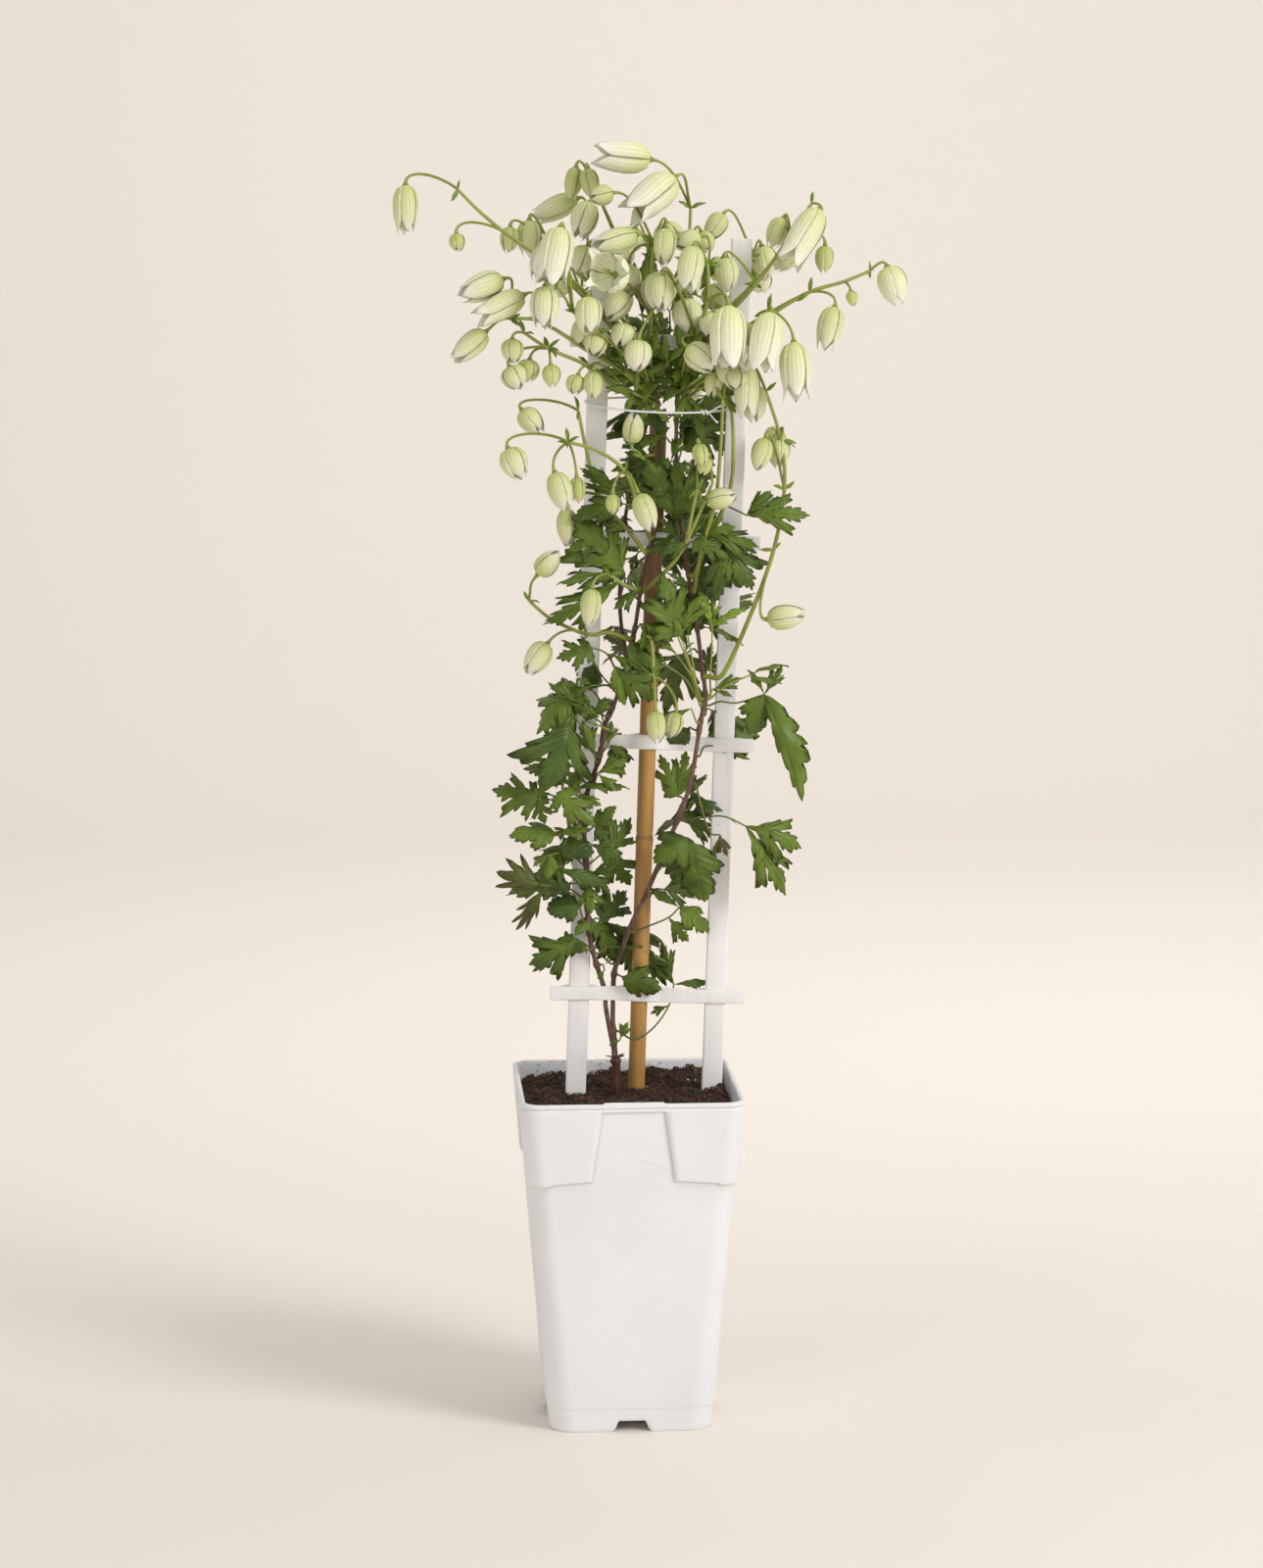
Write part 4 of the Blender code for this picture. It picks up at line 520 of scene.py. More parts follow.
def tube(path, radii, sides=8, slot=0, ridges=0.0, marks=(0, 0, 0, 0)):
    """A closed round tube: each path point's circle is r (cos a N + sin a B), square to the path.

    N is the tangent crossed with the direction in which the path spreads least. The radius may
    carry ridges, r (1 + ridges cos 5a). Both ends close in a point.
    """
    path = np.asarray(path, float)
    radii = np.broadcast_to(np.asarray(radii, float), len(path))
    tangent = unit(np.gradient(path, axis=0))
    spread = np.linalg.svd(path - path.mean(axis=0))[2][2]
    normal = unit(np.cross(tangent, spread))
    binormal = np.cross(tangent, normal)
    angle = np.linspace(0, 2 * pi, sides, endpoint=False)[None, :, None]
    lengths = np.concatenate([[0, 0], np.linspace(0, 1, len(path)), [1, 1]])
    radii = np.concatenate([[0, radii[0] * 0.7], radii, [radii[-1] * 0.7, 0]])
    path, tangent, normal, binormal = (np.concatenate([v[:1], v[:1], v, v[-1:], v[-1:]])
                                       for v in (path, tangent, normal, binormal))
    push = np.zeros(len(path))
    push[:2], push[-2:] = (-0.5, -0.35), (0.35, 0.5)
    path = path + tangent * (push * radii.max())[:, None]
    girth = radii[:, None, None] * (1 + ridges * np.cos(5 * angle))
    ring = normal[:, None] * np.cos(angle) + binormal[:, None] * np.sin(angle)
    sheet = Sheet(path[:, None] + girth * ring, marks, slot, wrap=True)
    sheet.uv[..., 1] = lengths[:, None]
    return sheet


def two_sided(top, normals, thickness, marks, slot=0):
    """A thin closed body: the top surface, and a copy pushed back by the thickness.

    Thickness is an array over the grid that falls to 0 at the edges, where the two then meet.
    """
    under = np.array(marks)
    under[..., 3] = 1
    back = Sheet(top - normals * thickness[..., None], under, slot, flip=True)
    return [Sheet(top, marks, slot), back]


def grid_normals(points):
    """The cross product of the grid's two directions, at every point."""
    return unit(np.cross(np.gradient(points, axis=1), np.gradient(points, axis=0)))


class Paint:
    """A material that is put together from shader nodes."""

    def __init__(self, name):
        self.material = bpy.data.materials.new(name)
        self.material.use_nodes = True
        self.nodes = self.material.node_tree.nodes

    def put(self, socket, value):
        """Link another socket into this one, or give it a plain value or colour."""
        if isinstance(value, bpy.types.NodeSocket):
            self.material.node_tree.links.new(value, socket)
        else:
            socket.default_value = (*value, 1) if socket.type == "RGBA" else value

    def node(self, kind, inputs=(), **settings):
        """A shader node with its settings and what is put into its inputs."""
        made = self.nodes.new("ShaderNode" + kind)
        for key, value in settings.items():
            setattr(made, key, value)
        for key, value in dict(inputs).items():
            self.put(made.inputs[key], value)
        return made

    def layers(self, color, *over):
        """The colour, with each pair's colour laid over it where the pair's share is 1."""
        for share, upper in over:
            color = self.node("Mix", {0: share, 6: color, 7: upper}, data_type="RGBA").outputs[2]
        return color

    def maths(self, operation, first, second=0.5):
        return self.node("Math", {0: first, 1: second}, operation=operation).outputs[0]

    def times(self, first, second):
        return self.maths("MULTIPLY", first, second)

    def spread(self, value, low, high, to_low=0.0, to_high=1.0):
        """Value carried from low..high to to_low..to_high, held at the ends."""
        ends = {"From Min": low, "From Max": high, "To Min": to_low, "To Max": to_high}
        return self.node("MapRange", {"Value": value, **ends}).outputs[0]

    def place(self):
        """Coordinates in the object, in metres."""
        return self.node("TexCoord").outputs["Object"]

    def grain(self, scale, stretch=(1, 1, 1), detail=4.0, roughness=0.55):
        """Noise at this many waves a metre, stretched by the three factors."""
        moved = self.node("Mapping", {"Vector": self.place(), "Scale": stretch}).outputs[0]
        inputs = {"Vector": moved, "Scale": scale, "Detail": detail, "Roughness": roughness}
        return self.node("TexNoise", inputs).outputs["Fac"]

    def grid(self):
        """How far across and how far up its grid a point lies, each from 0 to 1."""
        place = self.node("UVMap", uv_map="grid").outputs[0]
        return self.node("SeparateXYZ", {0: place}).outputs[:2]

    def marks(self):
        """The four values painted on the points, as separate sockets."""
        paint = self.node("Attribute", attribute_name="marks")
        parts = self.node("SeparateColor", {0: paint.outputs["Color"]}).outputs
        return parts[0], parts[1], parts[2], paint.outputs["Alpha"]

    def finish(self, color, roughness, height=None, depth=0.0005, strength=0.4, **constants):
        """Put colour, roughness, relief and plain values into the shader; give the material."""
        inputs = self.nodes["Principled BSDF"].inputs
        self.put(inputs["Base Color"], color)
        self.put(inputs["Roughness"], roughness)
        if height is not None:
            relief = self.node("Bump", {"Height": height, "Distance": depth, "Strength": strength})
            self.put(inputs["Normal"], relief.outputs[0])
        for key, value in constants.items():
            self.put(inputs[key.replace("_", " ")], value)
        return self.material


def leaf_material(name, dark, mid, deep, vein, youth, bronze, under):
    """Waxy leaf: mottled green, deeper on some leaves, paler veins, young, bronzed and under sides."""
    paint = Paint(name)
    is_vein, is_young, is_bronze, is_under = paint.marks()
    patches, fine = paint.grain(70, detail=6), paint.grain(900, detail=3)
    color = paint.layers(
        dark,
        (paint.spread(patches, 0.38, 0.64), mid),
        (paint.spread(fine, 0.35, 0.75, 0, 0.35), mid),
        (paint.spread(paint.grain(24, detail=1), 0.44, 0.60, 0, 0.72), deep),
        (is_young, youth),
        (is_bronze, bronze),
        (paint.times(is_under, 0.7), under),
        (paint.times(is_vein, 0.62), vein))
    height = paint.maths("SUBTRACT", paint.times(fine, 0.6), is_vein)
    rough = paint.spread(patches, 0.3, 0.7, 0.33, 0.5)
    return paint.finish(color, rough, height, 0.0006, 0.5, Specular_IOR_Level=0.3)


def sepal_material():
    """Satin sepal: cream, greener towards the neck and when young, with fine lengthwise veins."""
    paint = Paint("sepal_cream")
    is_edge, is_young, is_lit, is_under = paint.marks()
    across, up = paint.grid()
    waver = paint.spread(paint.grain(160, detail=2), 0.3, 0.7, -0.03, 0.03)
    wave = paint.maths("COSINE", paint.times(paint.maths("ADD", across, waver), 2 * pi * 6))
    line = paint.spread(wave, 0.35, 1.0)
    near_neck = paint.spread(up, 0.02, 0.55, 1, 0)
    fade = paint.spread(up, 0.55, 1.0, 1, 0.2)
    cream = paint.layers((0.88, 0.87, 0.65), (near_neck, (0.68, 0.73, 0.30)))
    bud = paint.layers((0.60, 0.63, 0.24), (near_neck, (0.44, 0.51, 0.14)))
    vein = paint.layers((0.42, 0.53, 0.14), (is_young, (0.22, 0.33, 0.05)))
    color = paint.layers(
        cream,
        (is_young, bud),
        (is_lit, (0.88, 0.87, 0.76)),
        (is_under, (0.92, 0.93, 0.74)),
        (paint.times(paint.times(line, fade), 0.32), vein),
        (paint.times(is_edge, 0.25), vein))
    height = paint.maths("SUBTRACT", paint.grain(700, detail=3), line)
    return paint.finish(color, 0.5, height, 0.0004, 0.35, Subsurface_Weight=0.2,
                        Subsurface_Radius=(0.9, 1.0, 0.4), Subsurface_Scale=0.0015,
                        Specular_IOR_Level=0.35)


def stalk_material(name, first, second, tip, rough):
    """Stalk: two shades in streaks along it, paling to the tip shade at its far end."""
    paint = Paint(name)
    streaks = paint.grain(500, (1, 1, 0.12), detail=3)
    color = paint.layers(
        first,
        (paint.spread(paint.grain(60), 0.4, 0.62), second),
        (paint.spread(paint.grid()[1], 0.45, 1.0, 0, 0.8), tip),
        (paint.spread(streaks, 0.5, 0.8, 0, 0.45), second))
    return paint.finish(color, rough, streaks, 0.0006, 0.5, Specular_IOR_Level=0.35)


def bark_material():
    """Young bark: grey-brown with paler lengthwise cracks, redder on the stump, greener on top."""
    paint = Paint("young_bark_streaked")
    height = paint.node("SeparateXYZ", {0: paint.place()}).outputs[2]
    streaks = paint.grain(900, (1, 1, 0.07), detail=6, roughness=0.7)
    bark = paint.layers(
        (0.075, 0.034, 0.024),
        (paint.spread(paint.grain(45), 0.36, 0.66), (0.17, 0.095, 0.065)),
        (paint.spread(streaks, 0.48, 0.7, 0, 0.75), (0.33, 0.23, 0.17)))
    color = paint.layers(
        (0.055, 0.019, 0.011),
        (paint.spread(streaks, 0.45, 0.7), (0.20, 0.085, 0.048)),
        (paint.spread(height, 0.206, 0.222), bark),
        (paint.spread(height, 0.5, 0.62, 0, 0.65), (0.12, 0.15, 0.04)))
    return paint.finish(color, 0.65, streaks, 0.0008, 0.8, Specular_IOR_Level=0.25)


def pot_layers(paint):
    """Painted shade in the creases, peat dust on the rim and the inner walls, and a scuffed foot."""
    is_dusty, is_foot, is_painted_crease_shade, _ = paint.marks()
    specks = paint.grain(330, detail=6, roughness=0.75)
    # Painted shade: a grey line in the creases along the panels' edges and feet.
    return ((paint.times(is_painted_crease_shade, 0.45), (0.42, 0.40, 0.39)),
            (paint.times(paint.spread(specks, 0.56, 0.66), is_dusty), (0.13, 0.075, 0.045)),
            (paint.times(paint.spread(specks, 0.6, 0.75), is_foot), (0.45, 0.42, 0.38)))


def slat_layers(paint):
    """Faint lengthwise streaks."""
    streaks = paint.grain(500, (1, 1, 0.03), detail=4)
    return ((paint.spread(streaks, 0.5, 0.75, 0, 0.4), (0.70, 0.67, 0.62)),)


def white_material(name, shade, scuffs, rough, over=lambda paint: ()):
    """Moulded plastic: nearly even white, a soft mottle, fine pits, a few grey scuffs, and the
    layers over them.
    """
    paint = Paint(name)
    patches, specks = paint.grain(14, detail=3), paint.grain(420, detail=5, roughness=0.7)
    color = paint.layers(
        shade,
        (paint.spread(patches, 0.35, 0.68), tuple(value * 0.93 for value in shade)),
        (paint.spread(specks, 0.66, 0.74, 0, scuffs), (0.40, 0.36, 0.31)),
        *over(paint))
    roughness = paint.spread(patches, 0.3, 0.7, rough, rough + 0.1)
    pits = paint.grain(1500, detail=2)
    return paint.finish(color, roughness, pits, 0.0002, 0.25, Specular_IOR_Level=0.42)


def cane_material():
    """Bamboo: golden tan with fine lengthwise fibres, brown blotches, dark joint marks, and painted shade
    in brown up the cane and on its left side.
    """
    paint = Paint("bamboo_golden")
    is_joint, is_shaded_brown, _, _ = paint.marks()
    fibres = paint.grain(1100, (1, 1, 0.02), detail=5, roughness=0.65)
    color = paint.layers(
        (0.55, 0.30, 0.075),
        (paint.spread(paint.grain(38, (1, 1, 0.5), detail=5), 0.35, 0.65), (0.39, 0.20, 0.045)),
        (paint.spread(fibres, 0.45, 0.7, 0, 0.5), (0.30, 0.15, 0.035)),
        # Painted shade: browner on the upper cane and on its left side.
        (paint.times(is_shaded_brown, 0.7), (0.16, 0.075, 0.03)),
        (paint.times(is_joint, 0.8), (0.13, 0.065, 0.03)))
    return paint.finish(color, 0.42, fibres, 0.0003, 0.4, Coat_Weight=0.12, Coat_Roughness=0.35)


def soil_material():
    """Peat: nearly black brown with redder fibres; crumbs carry their own shade."""
    paint = Paint("peat_crumbs")
    is_light, is_red, is_white, _ = paint.marks()
    lumps = paint.grain(260, detail=8, roughness=0.7)
    color = paint.layers(
        (0.012, 0.006, 0.004),
        (paint.spread(lumps, 0.38, 0.66), (0.060, 0.028, 0.017)),
        (is_light, (0.26, 0.165, 0.105)),
        (is_red, (0.15, 0.060, 0.032)),
        (is_white, (0.72, 0.69, 0.62)))
    return paint.finish(color, 0.93, paint.grain(1800, detail=5, roughness=0.8), 0.0006, 0.9)


def wall_half(z):
    """Half the pot's width over its walls, at a height."""
    return FOOT_HALF + (WALL_TOP_HALF - FOOT_HALF) * z / POT_HEIGHT


def wall_corner(z):
    """Radius of the pot's rounded corners, at a height."""
    return FOOT_CORNER + (RIM_CORNER - FOOT_CORNER) * z / POT_HEIGHT


def window_half(z):
    """Half the width of the plain field between two corner panels, at a height."""
    fall = (WINDOW_TOP - z) / (WINDOW_TOP - PANEL_BOTTOM)
    return WINDOW_TOP_HALF + (WINDOW_BOTTOM_HALF - WINDOW_TOP_HALF) * np.clip(fall, -0.13, 1.2)


def side_columns():
    """For each column of one side: which stretch it is in, and its share of it."""
    share = [np.arange(count) / count for count in SIDE_STEPS]
    # The field's second and last columns stand close to its edges, which keeps those edges crisp.
    share[2][1:3], share[2][-2:] = (EDGE_SHARE, 0.04), (0.96, 1 - EDGE_SHARE)
    return np.repeat(np.arange(5), SIDE_STEPS), np.concatenate(share)


def side_point(half, corner, field, stretch, share):
    """Place of a column on a side that faces +Y: x along it, and y outwards."""
    straight = half - corner
    angle = np.select([stretch == 0, stretch == 4], [share - 1, share], 0) * pi / 4
    inner = np.minimum(field, straight - 0.5)
    panel = (straight - inner) * share
    x = np.select([stretch == 1, stretch == 2, stretch == 3],
                  [-straight + panel, -inner + 2 * inner * share, inner + panel],
                  np.sign(stretch - 2) * straight)
    return x + corner * np.sin(angle), half - corner + corner * np.cos(angle)


def ring_of(half, corner, z, field, push=0.0):
    """One turn round the pot, as an array of points; half, z and push may vary along it."""
    stretch, share = side_columns()
    out, up = (np.broadcast_to(value, 4 * len(stretch)).reshape(4, -1) for value in (half + push, z))
    sides = []
    for quarter in range(4):
        turn = quarter * pi / 2
        x, y = side_point(out[quarter], corner, field, stretch, share)
        sides.append(joined(x * cos(turn) + y * sin(turn), y * cos(turn) - x * sin(turn), up[quarter]))
    return np.concatenate(sides)


def make_pot(material):
    """The shell as one grid: foot, outer wall with its panels, lip and tab, and inner wall.

    Each row is a turn round the pot. Its height and push are eased between named levels, and it is
    painted with how dusty and how near the foot it is, and with how much painted shade a crease gives it.
    """
    stretch, share = (np.tile(column, 4) for column in side_columns())
    count = len(stretch)
    is_front = (np.arange(count) // (count // 4)) == 2
    x = side_point(wall_half(60), wall_corner(60), WINDOW_BOTTOM_HALF, stretch, share)[0]
    foot_field = NOTCH_HALF + 2
    foot_x = side_point(wall_half(0), wall_corner(0), foot_field, stretch, share)[0]
    notch = NOTCH_HEIGHT * np.clip((NOTCH_HALF - abs(foot_x)) / (NOTCH_HALF - NOTCH_TOP_HALF), 0, 1)
    drop = PANEL_CORNER_DROP * np.clip(abs(x) / (wall_half(PANEL_BOTTOM) - wall_corner(PANEL_BOTTOM)), 0, 1)
    panel_foot = PANEL_BOTTOM - np.where((stretch == 0) | (stretch == 4), PANEL_CORNER_DROP, drop)
    field = (stretch == 2) & (share > 0)
    from_edge = np.minimum(share, 1 - share)
    in_field = np.where(field, ease(from_edge / EDGE_SHARE), 0.0)
    by_edge = np.where(field & (from_edge < 1.5 * EDGE_SHARE), 1.0, 0.0)
    lip_under = POT_HEIGHT - LIP_HEIGHT
    tab_x = abs(x * WINDOW_TOP_HALF / WINDOW_BOTTOM_HALF)
    tab = np.where(is_front, ease((TAB_HALF + 0.8 - tab_x) / 0.8), 0)
    rings, marks = [], []

    def add(half, corner, z, opening, push=0.0, dust=0.0, foot=0.0, crease_shade=0.0):
        rings.append(ring_of(half, corner, z, opening, push))
        marks.append(painted((count,), dust, foot, crease_shade))

    for z in (FLOOR_UNDER, 6.6):
        add(wall_half(z) - WALL, wall_corner(z) - WALL, np.maximum(z, notch), foot_field)
    add(wall_half(0) - WALL, wall_corner(0) - WALL, notch + 0.3, foot_field)
    for inwards, rise in ((WALL - 0.3, 0), (0.3, 0), (0, 0.4)):
        add(wall_half(0) - inwards, wall_corner(0), notch + rise, foot_field, foot=1)
    for t in steps(8):
        z = notch + 0.4 + (MOULD_LINE - notch) * t
        add(wall_half(z), wall_corner(MOULD_LINE * t), z, foot_field + 10 * t, foot=1 - t)
    # A faint step, where the lower mould half begins.
    for z, push in ((13.6, 0.0), (14.2, 0.35), (STEP_TOP, MOULD_STEP)):
        add(wall_half(z), wall_corner(z), z, WINDOW_BOTTOM_HALF, push)
    for t in steps(19):
        z = STEP_TOP + (panel_foot - 1.2 - STEP_TOP) * t
        add(wall_half(z), wall_corner(STEP_TOP + 135 * t), z, WINDOW_BOTTOM_HALF,
            MOULD_STEP * (1 - ease(t * 3)))
    # Painted shade in the creases: under the panels' feet, along the field's edges and under the window's
    # top edge.
    for t in steps(5):
        z = panel_foot - 1.2 + 1.2 * t
        add(wall_half(z), wall_corner(150), z, window_half(PANEL_BOTTOM),
            PANEL_PROUD * ease(t) * (1 - in_field), crease_shade=(1 - t) * (1 - in_field))
    for t in steps(33):
        z = panel_foot + (WINDOW_TOP - panel_foot) * t
        level = PANEL_BOTTOM + (WINDOW_TOP - PANEL_BOTTOM) * t
        # A fine raised arc across the field, above the panels' feet.
        arc = 0.35 * bump(level - 167 + 0.006 * x**2, 0.9) * in_field
        add(wall_half(z), wall_corner(level), z, window_half(level),
            PANEL_PROUD * (1 - in_field) + arc, crease_shade=by_edge)
    for t in steps(3):
        z = WINDOW_TOP + 0.6 * t
        add(wall_half(z), wall_corner(z), z, window_half(z),
            PANEL_PROUD * (1 - in_field * (1 - ease(t))), crease_shade=in_field * (1 - t))
    # The lip: a fine groove under it, a rounded edge, and the tab at the middle of the front.
    for z, half in ((lip_under - 0.6, 64.7), (lip_under - 0.3, 64.2), (lip_under, 64.3),
                    (lip_under + 0.4, RIM_HALF - 0.1), (lip_under + 0.8, RIM_HALF),
                    (POT_HEIGHT - 0.9, RIM_HALF), (POT_HEIGHT - 0.35, RIM_HALF - 0.2)):
        add(half, RIM_CORNER, z + tab * ease((z - lip_under) / 2) * 0.9, LIP_FIELD, dust=0.15)
    for half in (RIM_HALF - 0.7, 63.6, 62.9):
        rise = tab * ease((half - 62.6) / 0.6)
        add(half, RIM_CORNER - 1, POT_HEIGHT + rise, LIP_FIELD, dust=0.4)
    add(wall_half(POT_HEIGHT) - WALL + 0.1, RIM_CORNER - WALL, POT_HEIGHT - 0.4, LIP_FIELD, dust=0.6)
    for z in (198, 195, 192, 189, 186, 182, 176, 150, 100, 50, FLOOR_TOP):
        add(wall_half(z) - WALL, wall_corner(z) - WALL, z, INNER_FIELD, dust=min(1, (202 - z) / 7))
    sheet = Sheet(np.array(rings), np.array(marks), wrap=True, flip=True)
    build("pot_shell", [sheet], [material], ("pot",))


def make_floor(material):
    """The pot's floor: a flat outline with rounded corners and four drain holes."""
    half = wall_half(FLOOR_UNDER) - WALL / 2
    ring = ring_of(half, wall_corner(0) - WALL / 2, 0.0, INNER_FIELD)[::3]
    turn = np.linspace(0, 2 * pi, 32, endpoint=False)
    outlines = [ring[:, :2]]
    outlines += [joined(x + DRAIN_RADIUS * np.cos(turn), y + DRAIN_RADIUS * np.sin(turn))
                 for x in (-DRAIN_OFFSET, DRAIN_OFFSET) for y in (-DRAIN_OFFSET, DRAIN_OFFSET)]
    curve = bpy.data.curves.new("pot_floor_outline", "CURVE")
    curve.dimensions = "2D"
    curve.fill_mode = "BOTH"
    curve.extrude = (FLOOR_TOP - FLOOR_UNDER) / 2 * MM
    for outline in outlines:
        spline = curve.splines.new("POLY")
        spline.points.add(len(outline) - 1)
        spline.use_cyclic_u = True
        flat = joined(*((outline + POT_PLACE[:2]) * MM).T, 0, 1)
        spline.points.foreach_set("co", flat.ravel())
    holder = placed("pot_floor_curve", curve)
    bpy.context.view_layer.update()
    evaluated = holder.evaluated_get(bpy.context.evaluated_depsgraph_get())
    mesh = bpy.data.meshes.new_from_object(evaluated)
    bpy.data.objects.remove(holder)
    bm = bmesh.new()
    bm.from_mesh(mesh)
    bmesh.ops.translate(bm, vec=(0, 0, (FLOOR_TOP + FLOOR_UNDER) / 2 * MM), verts=bm.verts)
    bmesh.ops.remove_doubles(bm, verts=bm.verts, dist=1e-6)
    bmesh.ops.recalc_face_normals(bm, faces=bm.faces)
    bm.to_mesh(mesh)
    bm.free()
    mesh.materials.clear()
    enter("pot_floor", mesh, [material], ("pot",))


def soil_height(x, y):
    """Lumps of three sizes, heaps towards the back, and a fall to the pot's walls."""
    lumps = np.sin(x / 7.3 + 1.1) * np.cos(y / 9.1) + 0.8 * np.sin(x / 4.1 - y / 6.3)
    lumps = lumps + 0.6 * np.cos(y / 3.7)
    level = SOIL_LEVEL + 1.1 * lumps + 0.012 * x + 0.025 * y
    place = joined(x, y, 0)
    level = level + 1.2 * noise(place, 5.0, 3) + 0.7 * noise(place, 1.8, 4)
    for heap_x, heap_y, rise, reach in HEAPS:
        level = level + rise * bump(np.hypot(x - heap_x, y - heap_y), reach)
    edge = np.maximum(abs(x), abs(y))
    return level + (SOIL_EDGE + 0.6 - level) * ease((edge - 54) / 8)


def crumbs():
    """Small round lumps on the soil, squashed and turned at random, each of one shade."""
    bands, spokes = 4, 5
    place = rng.uniform(-58, 58, (CRUMBS, 2))
    size = rng.gamma(2.0, 0.3, CRUMBS).clip(0.25, 2.0)
    lift = soil_height(*place.T) + 0.25 * size
    down = np.linspace(0, pi, bands + 1)[:, None]
    around = np.linspace(0, 2 * pi, spokes, endpoint=False)
    ball = joined(np.sin(down) * np.cos(around), np.sin(down) * np.sin(around), np.cos(down))
    shape = ball[None] * rng.uniform(0.6, 1.35, (CRUMBS, 1, 1, 3))
    shape = shape * rng.uniform(0.7, 1.3, (CRUMBS, bands + 1, spokes, 1))
    spin = rng.uniform(0, 2 * pi, CRUMBS)[:, None, None]
    tilt = rng.uniform(-1, 1, CRUMBS)[:, None, None]
    x, y, z = shape[..., 0], shape[..., 1], shape[..., 2]
    x, y = x * np.cos(spin) - y * np.sin(spin), x * np.sin(spin) + y * np.cos(spin)
    lumps = joined(x, y * np.cos(tilt) - z * np.sin(tilt), y * np.sin(tilt) + z * np.cos(tilt))
    lumps = lumps * size[:, None, None, None] + joined(*place.T, lift)[:, None, None]
    shades = painted((CRUMBS,), rng.uniform(0, 0.8, CRUMBS) ** 3, rng.uniform(0, 1, CRUMBS) ** 4,
                     rng.uniform(0, 1, CRUMBS) > 0.985)
    return [Sheet(lump, shade, wrap=True, flip=True) for lump, shade in zip(lumps, shades)]


def fibres():
    """Thin bent threads lying on the crumbs."""
    threads = []
    t = np.linspace(-1, 1, 6)
    for _ in range(FIBRES):
        middle = rng.uniform(-56, 56, 2)
        heading = rng.uniform(0, 2 * pi)
        reach = rng.uniform(2, 8)
        bend = rng.uniform(-0.35, 0.35) * reach
        x = middle[0] + reach * t * cos(heading) - bend * t**2 * sin(heading)
        y = middle[1] + reach * t * sin(heading) + bend * t**2 * cos(heading)
        x, y = x.clip(-60, 60), y.clip(-60, 60)
        z = soil_height(x, y) + rng.uniform(0.3, 1.2) + 0.6 * t**2
        tone = (rng.uniform(0, 1) ** 1.5, 0.6 * rng.uniform(0, 1) ** 2, 0, 0)
        threads.append(tube(joined(x, y, z), rng.uniform(0.1, 0.28), 3, marks=tone))
    return threads


def make_soil(material):
    """The filling: rings of the pot's inner outline drawn in to the middle, with crumbs on top."""
    def inner_ring(level, height):
        half, corner = wall_half(level) - WALL - 0.3, wall_corner(level) - WALL - 0.3
        return ring_of(half, corner, height, INNER_FIELD)[::2]

    rings = [inner_ring(z, z) for z in (FLOOR_TOP + 0.4, 60, 120, 170, 184)]
    rings.insert(0, rings[0] * (0.001, 0.001, 1))
    rim = inner_ring(SOIL_EDGE, 0.0)
    for share in np.linspace(1, 0.01, 64):
        ring = rim * (share, share, 1)
        ring[:, 2] = soil_height(ring[:, 0], ring[:, 1])
        rings.append(ring)
    sheets = [Sheet(np.array(rings), wrap=True, flip=True)] + crumbs() + fibres()
    build("soil_bed", sheets, [material], ("soil",))


def leaned(x, y, z, across, height=SLAT_PLACE_HEIGHT):
    """Points of an upright piece, turned by the lean about its foot and moved to its place."""
    return joined(across + x * cos(LEAN) + (z - height) * sin(LEAN), TRELLIS_DEPTH + y,
                  height + (z - height) * cos(LEAN) - x * sin(LEAN))


def rounded_bar(half_x, half_y, radius, count=5):
    """Section of a bar with rounded edges, as arcs of count points at its four corners."""
    quarter = np.linspace(0, pi / 2, count)
    angle = np.concatenate([quarter + k * pi / 2 for k in range(4)])
    sign_x, sign_y = np.repeat([(1, -1, -1, 1), (1, 1, -1, -1)], count, axis=1)
    return joined(sign_x * (half_x - radius) + radius * np.cos(angle),
                  sign_y * (half_y - radius) + radius * np.sin(angle))


def make_slat(name, across, material):
    """A flat bar with rounded edges, faintly bowed, its foot pointed and its top rounded over."""
    shaft = np.linspace(SLAT_FOOT + 22, SLAT_TOP - 1, 90)
    z = np.concatenate([[SLAT_FOOT, SLAT_FOOT + 0.01], shaft,
                        [SLAT_TOP - 0.5, SLAT_TOP - 0.15, SLAT_TOP, SLAT_TOP]])[:, None]
    width = np.concatenate([[0.001, 0.33], np.ones(len(shaft)), [0.995, 0.98, 0.93, 0.001]])[:, None]
    bar = rounded_bar(SLAT_WIDTH / 2, SLAT_THICKNESS / 2, 0.9)
    x = bar[:, 0] * width + 0.12 * np.sin(z / 41 + across)
    points = leaned(x, bar[:, 1] * np.minimum(1, width + 0.05), z, across)
    build(name + "_fine", [Sheet(points, wrap=True)], [material], (name,))


